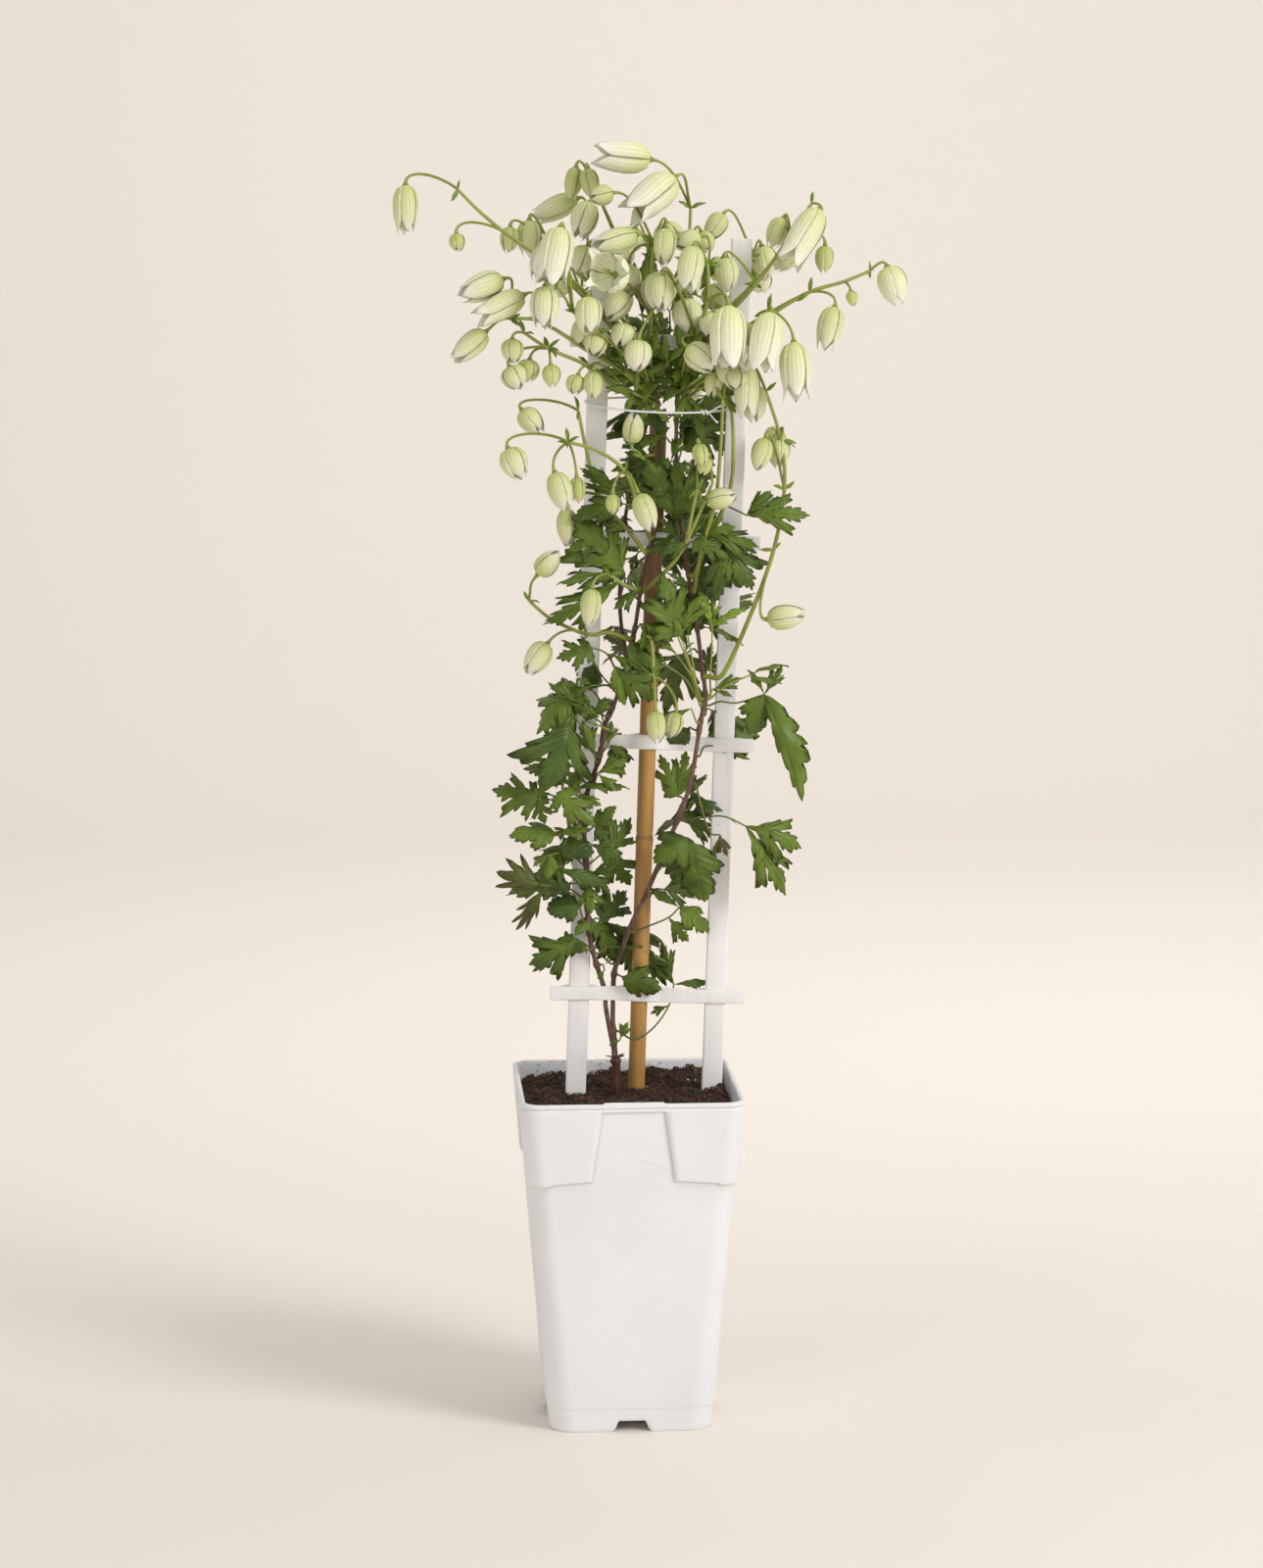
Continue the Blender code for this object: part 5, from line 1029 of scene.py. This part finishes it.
def make_cane(material):
    """Bamboo culm: it swells a little over each joint, with a groove above it, and is never quite round.

    r = R (0.94 + 0.06 bump(joint) - 0.05 bump(groove)) (1 + 0.012 noise).
    """
    z = np.concatenate([[CANE_FOOT, CANE_FOOT], np.linspace(CANE_FOOT + 0.3, CANE_TOP - 0.4, 420),
                        [CANE_TOP - 0.1, CANE_TOP, CANE_TOP]])
    angle = np.linspace(0, 2 * pi, 28, endpoint=False)
    near = np.array([z - joint for joint in CANE_JOINTS])
    girth = 0.94 + 0.06 * bump(near + 1.2, 2.2).sum(axis=0) - 0.05 * bump(near - 2.4, 1.1).sum(axis=0)
    girth[0], girth[-1], girth[1], girth[-2] = 0.001, 0.001, 0.85, 0.86
    place = joined(5 * np.cos(angle), 5 * np.sin(angle), 0.15 * z[:, None])
    radius = CANE_RADIUS * girth[:, None] * (1 + 0.012 * noise(place, 6.0, 9))
    points = leaned(radius * np.cos(angle), radius * np.sin(angle), z[:, None], CANE_PLACE)
    joint_mark = (bump(near - 0.6, 1.3).sum(axis=0) * 0.8).clip(0, 1)[:, None]
    # Painted shade: browner from about 415 mm up, among the leaves, and on the cane's left side, away from
    # the key light.
    brown = ease((z - 415) / 60)[:, None] * 0.8 + 0.35 * ease(-np.cos(angle - 0.4))
    sheet = Sheet(points, painted(radius.shape, joint_mark, brown), wrap=True)
    build("cane_fine", [sheet], [material], ("cane",))


def swell(x, centre, half, fall):
    """One over the middle of a member, easing to nothing past its sides."""
    past = np.clip((abs(x - centre) - half) / fall, 0, 1)
    return 0.5 + 0.5 * np.cos(pi * past)


def make_rung(name, level, material):
    """A band in front of the members that closes behind each of them, waved a little up and down."""
    slat_half = SLAT_THICKNESS / 2 + GAP + RUNG_PLY
    front_line = 0.05 - slat_half
    members = [(across, slat_half, SLAT_WIDTH / 2 + GAP + RUNG_PLY, 4)
               for across in SLAT_PLACES.values()]
    if level < CANE_TOP:
        members.append((CANE_PLACE, CANE_RADIUS + GAP + RUNG_PLY, 3, 10))
    first, last = SLAT_PLACES["upright_left"] - RUNG_REACH, SLAT_PLACES["upright_right"] + RUNG_REACH
    x = np.concatenate([[first, first], np.linspace(first + 0.3, last - 0.3, 220), [last, last]])
    front = front_line - sum(swell(x, at, half, fall) * (deep + front_line)
                             for at, deep, half, fall in members)
    back = front_line + RUNG_PLY + sum(swell(x, at, half, fall) * (deep - front_line - RUNG_PLY)
                                       for at, deep, half, fall in members)
    shrink = np.concatenate([[0.001, 0.9], np.ones(len(x) - 4), [0.9, 0.001]])
    bar = rounded_bar(1, 1, 0.25, 4)
    dip = 0.9 * np.cos((x - CANE_PLACE) / 19 + level) * bump(x - CANE_PLACE, 45) - 0.4
    height = RUNG_HEIGHT / 2 * shrink * (1 + 0.04 * np.sin(x / 13 + level))
    y = (front + back)[:, None] / 2 + bar[:, 0] * ((back - front) / 2 * shrink)[:, None]
    z = level + dip[:, None] + bar[:, 1] * height[:, None]
    points = leaned(x[:, None], y, z, (level - SLAT_PLACE_HEIGHT) * tan(LEAN), level)
    build(name + "_fine", [Sheet(points, wrap=True)], [material], (name,))


def make_tie(material):
    """Plastic-covered wire: a slack ring round both slats, its ends twisted in a knot in front."""
    middle = sum(SLAT_PLACES.values()) / 2 + (TIE_LEVEL - SLAT_PLACE_HEIGHT) * tan(LEAN)
    angle = np.linspace(0, 2 * pi, TIE_POINTS)
    radius = 1 + 0.012 * np.sin(5 * angle + 1) + 0.01 * np.sin(3 * angle)
    ring = joined(middle + TIE_HALF_ACROSS * radius * np.cos(angle),
                  TRELLIS_DEPTH + TIE_HALF_DEEP * radius * np.sin(angle),
                  TIE_LEVEL + TIE_DIP * np.sin(angle) + 0.8 * np.sin(2 * angle + 1))
    ring[-1] = ring[0]
    # The knot: two turns of wire round the ring, and two short ends.
    turn = np.linspace(0, 4 * pi, 60)
    knot = ring[int(KNOT_SHARE * TIE_POINTS)]
    coil = knot + joined(turn * 0.35 - 2.2, 1.25 * np.cos(turn), 1.25 * np.sin(turn))
    sheets = [tube(ring, TIE_RADIUS, 12), tube(coil, 0.5, 8)]
    sheets += [tube(coil[-1:] + np.outer(np.linspace(0, 1, 8), end), 0.45, 8)
               for end in ((4, -3, -5), (5, -2, 2))]
    build("tie_ring_fine", sheets, [material], ("tie_ring",))


def shoot_radius(z):
    """Thick up to the first knuckle, then an even taper."""
    taper = SHOOT_RADIUS + (SHOOT_END_RADIUS - SHOOT_RADIUS) * (z - KNUCKLE) / (SLAT_TOP - KNUCKLE)
    return np.where(z < KNUCKLE, STUMP_RADIUS, taper)


def shoot_paths():
    """The curve of each shoot, through its points as the eye lines them up."""
    return {name: curve_through([seen(*point) for point in points], 1.5)
            for name, points in SHOOTS.items()}


def make_shoots(paths, material):
    """The stump and the three shoots, ridged, with a knuckle wherever a leaf or flower leaves."""
    sheets = []
    for name, path in paths.items():
        z = path[:, 2]
        nodes = [height for _, shoot, height, *_ in LEAVES + BLOOMS if shoot == name]
        knuckles = sum(bump(z - height, 2.2) for height in nodes).clip(0, 1)
        radius = shoot_radius(z) * (0.83 + 0.42 * knuckles + 0.05 * np.sin(z / 3.1) * np.sin(z / 7.7))
        if name == "a":
            radius = radius + 1.1 * bump(z - KNUCKLE, 2.5) + 0.5 * bump(z - 197, 3)
            collar = path[np.argmin(abs(z - KNUCKLE))]
        sheets.append(tube(path, radius, 16, ridges=0.07))
    # Dry scales round the top of the stump.
    for k, turn in enumerate((0.3, 1.7, 3.4, 4.6, 5.6)):
        heading = np.array([cos(turn), sin(turn), 0.5])
        tip = collar + heading * 5.5
        sheets += blade(collar + heading * 1.5, tip, 0.7, FACES["U"], "spear", seed=900 + k)
    build("vine_shoots_fine", sheets, [material], ("vine_shoots",))


def start_on(path, height, towards):
    """A stalk starts inside the shoot at this height and leaves its side towards the point."""
    height = min(height, path[-1, 2] - 1)
    centre = np.array([np.interp(height, path[:, 2], path[:, k]) for k in range(3)])
    outwards = unit(np.array([towards[0] - centre[0], towards[1] - centre[1], 0.0]))
    side = centre + outwards * (shoot_radius(height) + GAP + 0.1)
    return [centre, side, side + outwards * 2]


def stalk_from(paths, shoot, height, stalk):
    """The stalk's curve, and its own points: 0 is the shoot's side, then as listed."""
    points = [seen(*point) for point in stalk]
    start = start_on(paths[shoot], height, points[0])
    return curve_through(start + points, 2.4), [start[1]] + points


def scalloped(half):
    """Convex arcs between an outline's points: a + (b-a) t + 0.45 t(1-t) min(|b-a|, 0.17) outwards.

    The points are the ends of teeth and the notches between them, so both stay sharp.
    """
    first, last = half[:-1, None], half[1:, None]
    t = np.array([[0.0], [0.5]])
    arcs = first + (last - first) * t
    chord = last[..., 1:3] - first[..., 1:3]
    size = np.linalg.norm(chord, axis=-1, keepdims=True)
    outwards = joined(-chord[..., 1], chord[..., 0]) / size
    arcs[..., 1:3] += outwards * 0.45 * t * (1 - t) * np.minimum(size, 0.17)
    return np.concatenate([arcs.reshape(-1, 4), half[-1:]])


def cut_for(ratio, length, seed):
    """The common cuts: narrow blades are narrow, small ones are fans, and the others vary."""
    if ratio < 0.5:
        return "narrow"
    return "fan" if length < SMALL_BLADE else ("fan", "hand", "fan", "broad", "fan")[seed % 5]


def blade(base, tip, ratio, facing, cut, look=(0.0, 0.0), seed=0, slot=0):
    """A cut leaf: its outline runs up one side and down the other, and veins cross to it.

    A point at share s between the rib at r and the edge at (up, out) lies at u = r + s (up - r),
    v = s out. Above the flat it stands about 0.32 u (1-u) - fold |v|, with the veins sunk, a wave
    along its edge, its tip drooping, and a light pucker.
    """
    chance = np.random.default_rng(seed)
    along = tip - base
    length = np.linalg.norm(along) * LONGER
    along = unit(along)
    facing = facing + chance.uniform(-0.5, 0.5, 3)
    normal = unit(facing - along * facing.dot(along))
    across = np.cross(normal, along)

    halves = []
    for _ in range(2):
        half = np.array(OUTLINES[cut])
        half[1:-1, 1:3] += chance.uniform(-0.02, 0.02, half[1:-1, 1:3].shape)
        half[:, 2] *= chance.uniform(0.88, 1.12)
        halves.append(scalloped(half))
    left, right = halves
    rib, up, out, tooth = np.concatenate([left, right[-2::-1] * (1, 1, -1, 1)]).T
    tooth = np.clip(tooth, 0, 1)
    if cut == "strap":
        out = np.where(out < 0, out * 0.3, out)
    u = rib + ROWS * (up - rib)
    v = ROWS * out * ratio
    vein = np.maximum(bump(ROWS, 0.035) * (1 - 0.5 * rib),
                      tooth ** 2 * ease(ROWS * 5) * (1 - 0.45 * ROWS))
    crimp, start = chance.uniform(9, 15), chance.uniform(0, 2 * pi)
    wave = chance.uniform(0.015, 0.04) * np.sin(crimp * u + 5 * v + start)
    fold = chance.uniform(0.12, 0.5)
    lift = 0.32 * u * (1 - u) - fold * (np.sqrt(v**2 + 0.0025) - 0.05) + wave * ROWS
    lift = lift + 0.014 * noise(joined(u, v, seed), 0.14, 2) - 0.012 * vein
    lift = lift - 0.05 * tooth * ROWS**3 - chance.uniform(0, 0.28) * u**2
    lift = lift + chance.uniform(-0.25, 0.25) * v
    v = v + chance.uniform(-0.12, 0.12) * u**2
    points = base + length * (u[..., None] * along + v[..., None] * across
                              + lift[..., None] * normal)
    normals = unit(grid_normals(points) + 1e-3 * normal)
    normals[0] = unit(normals[0] + normals[0, ::-1])
    thickness = BLADE_THICKNESS * (1 - ROWS**6) * ease(u / 0.08) * ease((1 - rib) / 0.1)
    marks = painted(u.shape, vein, look[0] + chance.uniform(0, 0.16), look[1] * (0.45 + 0.55 * ROWS))
    return two_sided(points, normals, thickness, marks, slot)


def stands_for(name):
    """The part's own solid of this name, if it has one."""
    return (name,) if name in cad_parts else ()


def make_leaf(number, paths, leaf, finishes):
    """A leaf: its stalk, running a little into the last blade, and its blades."""
    name, shoot, height, stalk, blades, *look = leaf
    look = look[0][0] if look else (0.5 * (number * 0.618 % 1) ** 2, 0.0)
    path, joints = stalk_from(paths, shoot, height, stalk)
    last_tip = seen(*max(blades, key=lambda item: item[0])[1:4])
    rib = unit(last_tip - joints[-1]) * 1.2
    path = np.concatenate([path, path[-1:] + rib])
    thin = np.linspace(1, 0.62, len(path))
    thin[:4] = (2.1, 1.7, 1.35, 1.15)
    sheets = [tube(path, PETIOLE_RADIUS * thin, 8, slot=1)]
    for k, (joint, across, up, depth, ratio, *words) in enumerate(blades):
        base, tip = joints[int(joint)], seen(across, up, depth)
        seed = number * 11 + k
        cut = cut_for(ratio, np.linalg.norm(tip - base), seed)
        facing = FACES["F"]
        for word in words:
            if word in FACES:
                facing = FACES[word]
            else:
                cut = word
        sheets += blade(base, tip, ratio, facing, cut, look, seed)
    build("leaf_" + name + "_fine", sheets, finishes, stands_for("leaf_" + name))


def leaves_behind():
    """More leaves in the same form, round the back of the shoots, which the photograph hides."""
    chance = np.random.default_rng(31)
    leaves = []
    for shoot, low, high in (("a", 272, 600), ("b", 268, 600), ("c", 470, 600)):
        line = np.array(SHOOTS[shoot])
        for height in np.arange(low, high, BEHIND_SPACING):
            height = height + chance.uniform(-6, 6)
            x, depth = (np.interp(height, line[:, 1], line[:, k]) for k in (0, 2))
            turn = chance.uniform(0.12, 0.88) * pi
            heading = np.array([cos(turn) * 1.1, chance.uniform(-0.1, 0.4), sin(turn)])
            start = np.array([x, height, depth])
            end = start + heading * chance.uniform(10, 22)
            size = chance.uniform(22, 38)
            tip = end + unit(heading + (0, chance.uniform(-0.9, 0.2), 0)) * size
            second = end + unit(heading + chance.uniform(-0.9, 0.9, 3)) * size * 0.7
            middle = (start + end) / 2 + (0, 2, 0)
            blades = [(2, *tip, chance.uniform(0.75, 1.0), "B"),
                      (2, *second, chance.uniform(0.5, 0.8), "B")]
            name = "behind_%s_%02d" % (shoot, len(leaves) + 1)
            look = (chance.uniform(0, 0.25), 0.0)
            leaves.append((name, shoot, height, [middle, end], blades, [look]))
    return leaves


def bell(neck, mouth, width, openness, youth, seed):
    """A nodding bell of four sepals, each a strip of the bell's round wall narrowing to a tip.

    At share s of the length the wall stands R (0.07 + 0.93 rise fall) from the axis: rise is a
    quarter ellipse up to the shoulder at 0.4, and fall 1 - close ((s-0.4)/0.6)^2.2 from there on.
    Sepals overlap by turns down to 0.7, or 0.45 in a wide bell, narrow from there, and flare at
    the tips of an open bell.
    """
    chance = np.random.default_rng(seed)
    axis = mouth - neck
    length = np.linalg.norm(axis)
    axis = axis / length
    side = unit(np.cross(axis, (0.3, 1.0, 0.2)))
    other = np.cross(axis, side)
    s = np.linspace(0, 1, 14)[:, None]
    t = np.linspace(-1, 1, 9)[None]
    start = chance.uniform(0, pi / 2)
    rise = np.sqrt(1 - (1 - np.clip(s / 0.4, 0, 1)) ** 2)
    close = 0.86 - 0.55 * min(openness, 1)
    fall = 1 - close * np.clip((s - 0.4) / 0.6, 0, 1) ** 2.2
    girth = 0.07 + 0.93 * rise * fall
    flare = openness * 0.42 * ease((s - 0.72) / 0.28) ** 2
    narrowing = 0.45 if openness > 1 else 0.70
    taper = np.clip((s - narrowing) / (1 - narrowing), 0, 1)
    narrow = 1.13 * (1 - taper ** (1.7 - 0.4 * openness))
    thickness = SEPAL_THICKNESS * (1 - s**8) * (1 - abs(t) ** 8) * ease(s * 9 + 0.2)
    edge = ease((abs(t) - 0.7) / 0.3) * ease((0.95 - s) / 0.4) * (0.3 + 0.7 * youth)
    marks = painted(thickness.shape, edge, youth, (1 - 0.8 * youth) * ease((s - 0.55) / 0.45))
    sheets = []
    for k in range(4):
        longer = chance.uniform(0.95, 1.03)
        angle = start + k * pi / 2 + t * narrow * pi / 4 + chance.uniform(-0.06, 0.06)
        wall = width / 2 * (girth + flare * chance.uniform(0.7, 1.2))
        wall = wall * (1.02 - 0.06 * t**2 + 0.010 * np.cos(4 * pi * t) * ease(s * 4))
        wall = wall * (1 + 0.03 * np.sin(5 * s + chance.uniform(0, 6)) * s)
        wall = wall + 0.45 * (k % 2) * rise
        down = s * longer + 0 * t
        points = (neck + length * down[..., None] * axis
                  + (wall * np.cos(angle))[..., None] * side
                  + (wall * np.sin(angle))[..., None] * other)
        normals = grid_normals(points)
        outward = points - (neck + ((points - neck) @ axis)[..., None] * axis)
        if (normals * outward).sum() < 0:
            points = points[:, ::-1]
            normals = -normals[:, ::-1]
        sheets += two_sided(points, normals, thickness, marks)
    # The knob that the sepals grow from.
    knob = neck + axis * np.linspace(-0.6, 1.4, 6)[:, None]
    sheets.append(tube(knob, width * 0.06 + np.array([0.3, 0.7, 0.9, 1.0, 0.9, 0.6]), 8, slot=1))
    if openness > 0.7:
        sheets += stamens(neck, axis, side, other, length, chance)
    return sheets


def stamens(neck, axis, side, other, length, chance):
    """A tuft of threads in the bell's middle, each with a small yellow-green head."""
    sheets = []
    for _ in range(12):
        turn, lean = chance.uniform(0, 2 * pi), chance.uniform(0.1, 0.42)
        reach = length * chance.uniform(0.5, 0.68)
        heading = unit(axis + lean * (side * cos(turn) + other * sin(turn)))
        path = neck + np.outer(np.linspace(0.1, 1, 7), heading * reach)
        sheets.append(tube(path, (0.16, 0.15, 0.15, 0.15, 0.3, 0.42, 0.25), 5, slot=2))
    return sheets


def bract(base, heading, length, seed, look=(0.6, 0.0), ratio=0.36, cut="spear"):
    """A small leaf at a joint of a flower stem."""
    return blade(base, base + unit(heading) * length, ratio, FACES["F"], cut, look, seed, slot=3)


def stem_leaves(path, chance, seed):
    """Narrow young leaves up the lower part of a flower stem, turning round it as they rise."""
    sheets = []
    turn = chance.uniform(0, 2 * pi)
    for k, share in enumerate((0.14, 0.25, 0.38, 0.54)):
        turn = turn + 2.4 + chance.uniform(-0.3, 0.3)
        place = int(share * (len(path) - 1))
        rising = unit(path[min(place + 2, len(path) - 1)] - path[place])
        heading = rising * 0.9 + np.array([cos(turn), sin(turn), 0.15])
        length = (1 - 0.6 * share) * chance.uniform(13, 22)
        look = (chance.uniform(0.3, 0.75), 0.0)
        sheets += bract(path[place], heading, length, seed + k, look, 0.5, "narrow")
    return sheets


def make_spray(number, paths, spray, finishes):
    """A flower stem, its bracts in pairs at the joints, and each bloom on an arched stalk."""
    name, shoot, height, stalk, blooms = spray
    chance = np.random.default_rng(100 + number)
    path, joints = stalk_from(paths, shoot, height, stalk)
    thin = np.linspace(1.4, 0.8, len(path))
    thin[:3] = (1.6, 1.55, 1.45)
    sheets = [tube(path, FLOWER_STEM_RADIUS * thin, 10, slot=1, ridges=0.06)]
    if height > CROWN_LEVEL:
        sheets += stem_leaves(path, chance, 700 + 10 * number)
        # Lesser stems that leave the stem's side and come back to it further up.
        for _ in range(3):
            beside = path[: int(len(path) * chance.uniform(0.5, 0.8))]
            t = np.linspace(0, pi, len(beside))[:, None]
            aside = unit(chance.uniform(-1, 1, 3)) * chance.uniform(2.5, 6)
            sheets.append(tube(beside + aside * np.sin(t), FLOWER_STEM_RADIUS * 0.8, 8, slot=1))
    for k, bloom in enumerate(blooms):
        joint, *places, width = bloom
        start, neck, mouth = joints[int(joint)], seen(*places[:3]), seen(*places[3:])
        mouth = mouth + 0.05 * (mouth - neck)
        length = np.linalg.norm(mouth - neck)
        openness = float(np.clip((length - 20) / 22, 0, 0.75)) if width < 24 else 1.5
        youth = float(np.clip(1.12 - (width - 8) / 11, 0.0, 1.0))
        reach = np.linalg.norm(neck - start)
        bend = neck - unit(mouth - neck) * min(10, 0.5 * reach)
        arc = bezier(start, start + (neck - start) * 0.35 + (0, 0, 0.25 * reach), bend, neck)
        radii = np.linspace(1.15, 1, len(arc))
        radii[-4:] = (1.05, 1.2, 1.45, 1.8)
        sheets.append(tube(arc, PEDICEL_RADIUS * radii, 8, slot=1))
        sheets += bell(neck, mouth, width * 0.93, openness, youth, 50 * number + k)
        if joint and width > 10:
            out = unit(np.cross(unit(neck - start), (0, 1, 0)) + (0, -0.2, 0.5))
            for sign in (-1, 1):
                heading = sign * out * 0.8 + chance.uniform(-0.3, 0.3, 3) + (0, -0.2, 0.45)
                sheets += bract(start, heading, chance.uniform(5, 9), 50 * number + k + 7 * sign + 9)
    build(name + "_fine", sheets, finishes, stands_for(name))


def make_backdrop():
    """A pale floor that curves up into a wall behind: flat, a quarter circle, then upright."""
    half_width, front, bend, radius, top = 4.5, -3.4, 2.2, 1.3, 4.5
    turn = np.linspace(0, pi / 2, 24)
    y = np.concatenate([[front, 0.0], bend + radius * np.sin(turn), [bend + radius]])
    z = np.concatenate([[0.0, 0.0], radius - radius * np.cos(turn), [top]])
    sheet = Sheet(joined((-half_width, half_width), y[:, None], z[:, None]))
    mesh = bpy.data.meshes.new("backdrop")
    mesh.from_pydata(sheet.points.reshape(-1, 3).tolist(), [], sheet.quads.tolist())
    mesh.shade_smooth()
    mesh.materials.append(Paint("warm_paper").finish((0.875, 0.815, 0.757), 0.9, Specular_IOR_Level=0.15))
    placed("backdrop", mesh)


def make_lamp(name, place, at, size, power, color):
    """A round lamp of this size in metres, turned towards the point at."""
    light = bpy.data.lights.new(name, "AREA")
    light.shape = "DISK"
    light.size = size
    light.energy = power
    light.color = color
    lamp = placed(name, light)
    lamp.location = place
    lamp.rotation_euler = (Vector(at) - lamp.location).to_track_quat("-Z", "Y").to_euler()


def light_stage():
    """A broad key from the front right, a weak fill from the left, a top light, and a pale sky."""
    middle = (0, 0, 0.4)
    make_lamp("key", (1.9, -1.6, 1.7), middle, 1.2, 43, (1.0, 0.99, 0.975))
    make_lamp("fill", (-2.0, -2.0, 1.2), middle, 2.0, 12, (1.0, 0.98, 0.95))
    make_lamp("top", (0.3, 0.2, 2.6), middle, 1.8, 8, (1.0, 0.99, 0.97))
    make_lamp("wall_wash", (0.5, 1.0, 2.0), (0.3, 3.4, 0.8), 2.4, 21, (1.0, 0.98, 0.955))
    world = bpy.data.worlds.new("pale_sky")
    world.use_nodes = True
    sky = world.node_tree.nodes["Background"].inputs
    sky["Color"].default_value = (1.0, 0.975, 0.945, 1)
    sky["Strength"].default_value = 0.515
    bpy.context.scene.world = world
    bpy.context.scene.view_settings.view_transform = "Standard"


def make_camera():
    """The camera that the photograph was taken with, as fitted to the pot."""
    camera = bpy.data.cameras.new("camera")
    camera.sensor_width = 36
    camera.lens = LENS
    camera.shift_x = FRAME_SHIFT
    camera.clip_start = 0.05
    camera.clip_end = 50
    holder = placed("camera", camera)
    holder.location = (EYE + POT_PLACE) * MM
    holder.rotation_euler = (pi / 2 - EYE_DROP, 0, EYE_TURN)
    bpy.context.scene.camera = holder


make_camera()
make_backdrop()
light_stage()

slat_white = white_material("slat_white", (0.89, 0.88, 0.87), 0.3, 0.45, slat_layers)
pot_white = white_material("pot_white", (0.845, 0.855, 0.88), 0.18, 0.4, pot_layers)
make_pot(pot_white)
make_floor(pot_white)
make_soil(soil_material())
for slat, place in SLAT_PLACES.items():
    make_slat(slat, place, slat_white)
make_cane(cane_material())
for order, rung_level in enumerate(RUNG_LEVELS, 1):
    make_rung("rung_%d" % order, rung_level, slat_white)
make_tie(white_material("wire_white", (0.86, 0.86, 0.84), 0.0, 0.35))

leaf_green = leaf_material("leaf_waxy", dark=(0.018, 0.036, 0.002), mid=(0.092, 0.142, 0.010),
                           deep=(0.010, 0.034, 0.010), vein=(0.15, 0.21, 0.04),
                           youth=(0.22, 0.33, 0.035), bronze=(0.085, 0.06, 0.025),
                           under=(0.13, 0.18, 0.05))
leaf_stalk = stalk_material("leaf_stalk_green", (0.15, 0.17, 0.045), (0.11, 0.065, 0.03),
                            (0.13, 0.19, 0.045), 0.5)
flower_stalk = stalk_material("flower_stalk_green", (0.26, 0.32, 0.045), (0.19, 0.20, 0.035),
                              (0.38, 0.42, 0.13), 0.45)
stamen_yellow = stalk_material("stamen_yellow_green", (0.55, 0.60, 0.22), (0.5, 0.5, 0.15),
                               (0.62, 0.58, 0.16), 0.6)
shoots = shoot_paths()
make_shoots(shoots, bark_material())
for order, leaf in enumerate(LEAVES + leaves_behind()):
    is_young = len(leaf) > 5 and leaf[5][0][0] >= 0.3
    make_leaf(order, shoots, leaf, [leaf_green, flower_stalk if is_young else leaf_stalk])
bloom_finishes = [sepal_material(), flower_stalk, stamen_yellow, leaf_green]
for order, spray in enumerate(BLOOMS):
    make_spray(order, shoots, spray, bloom_finishes)
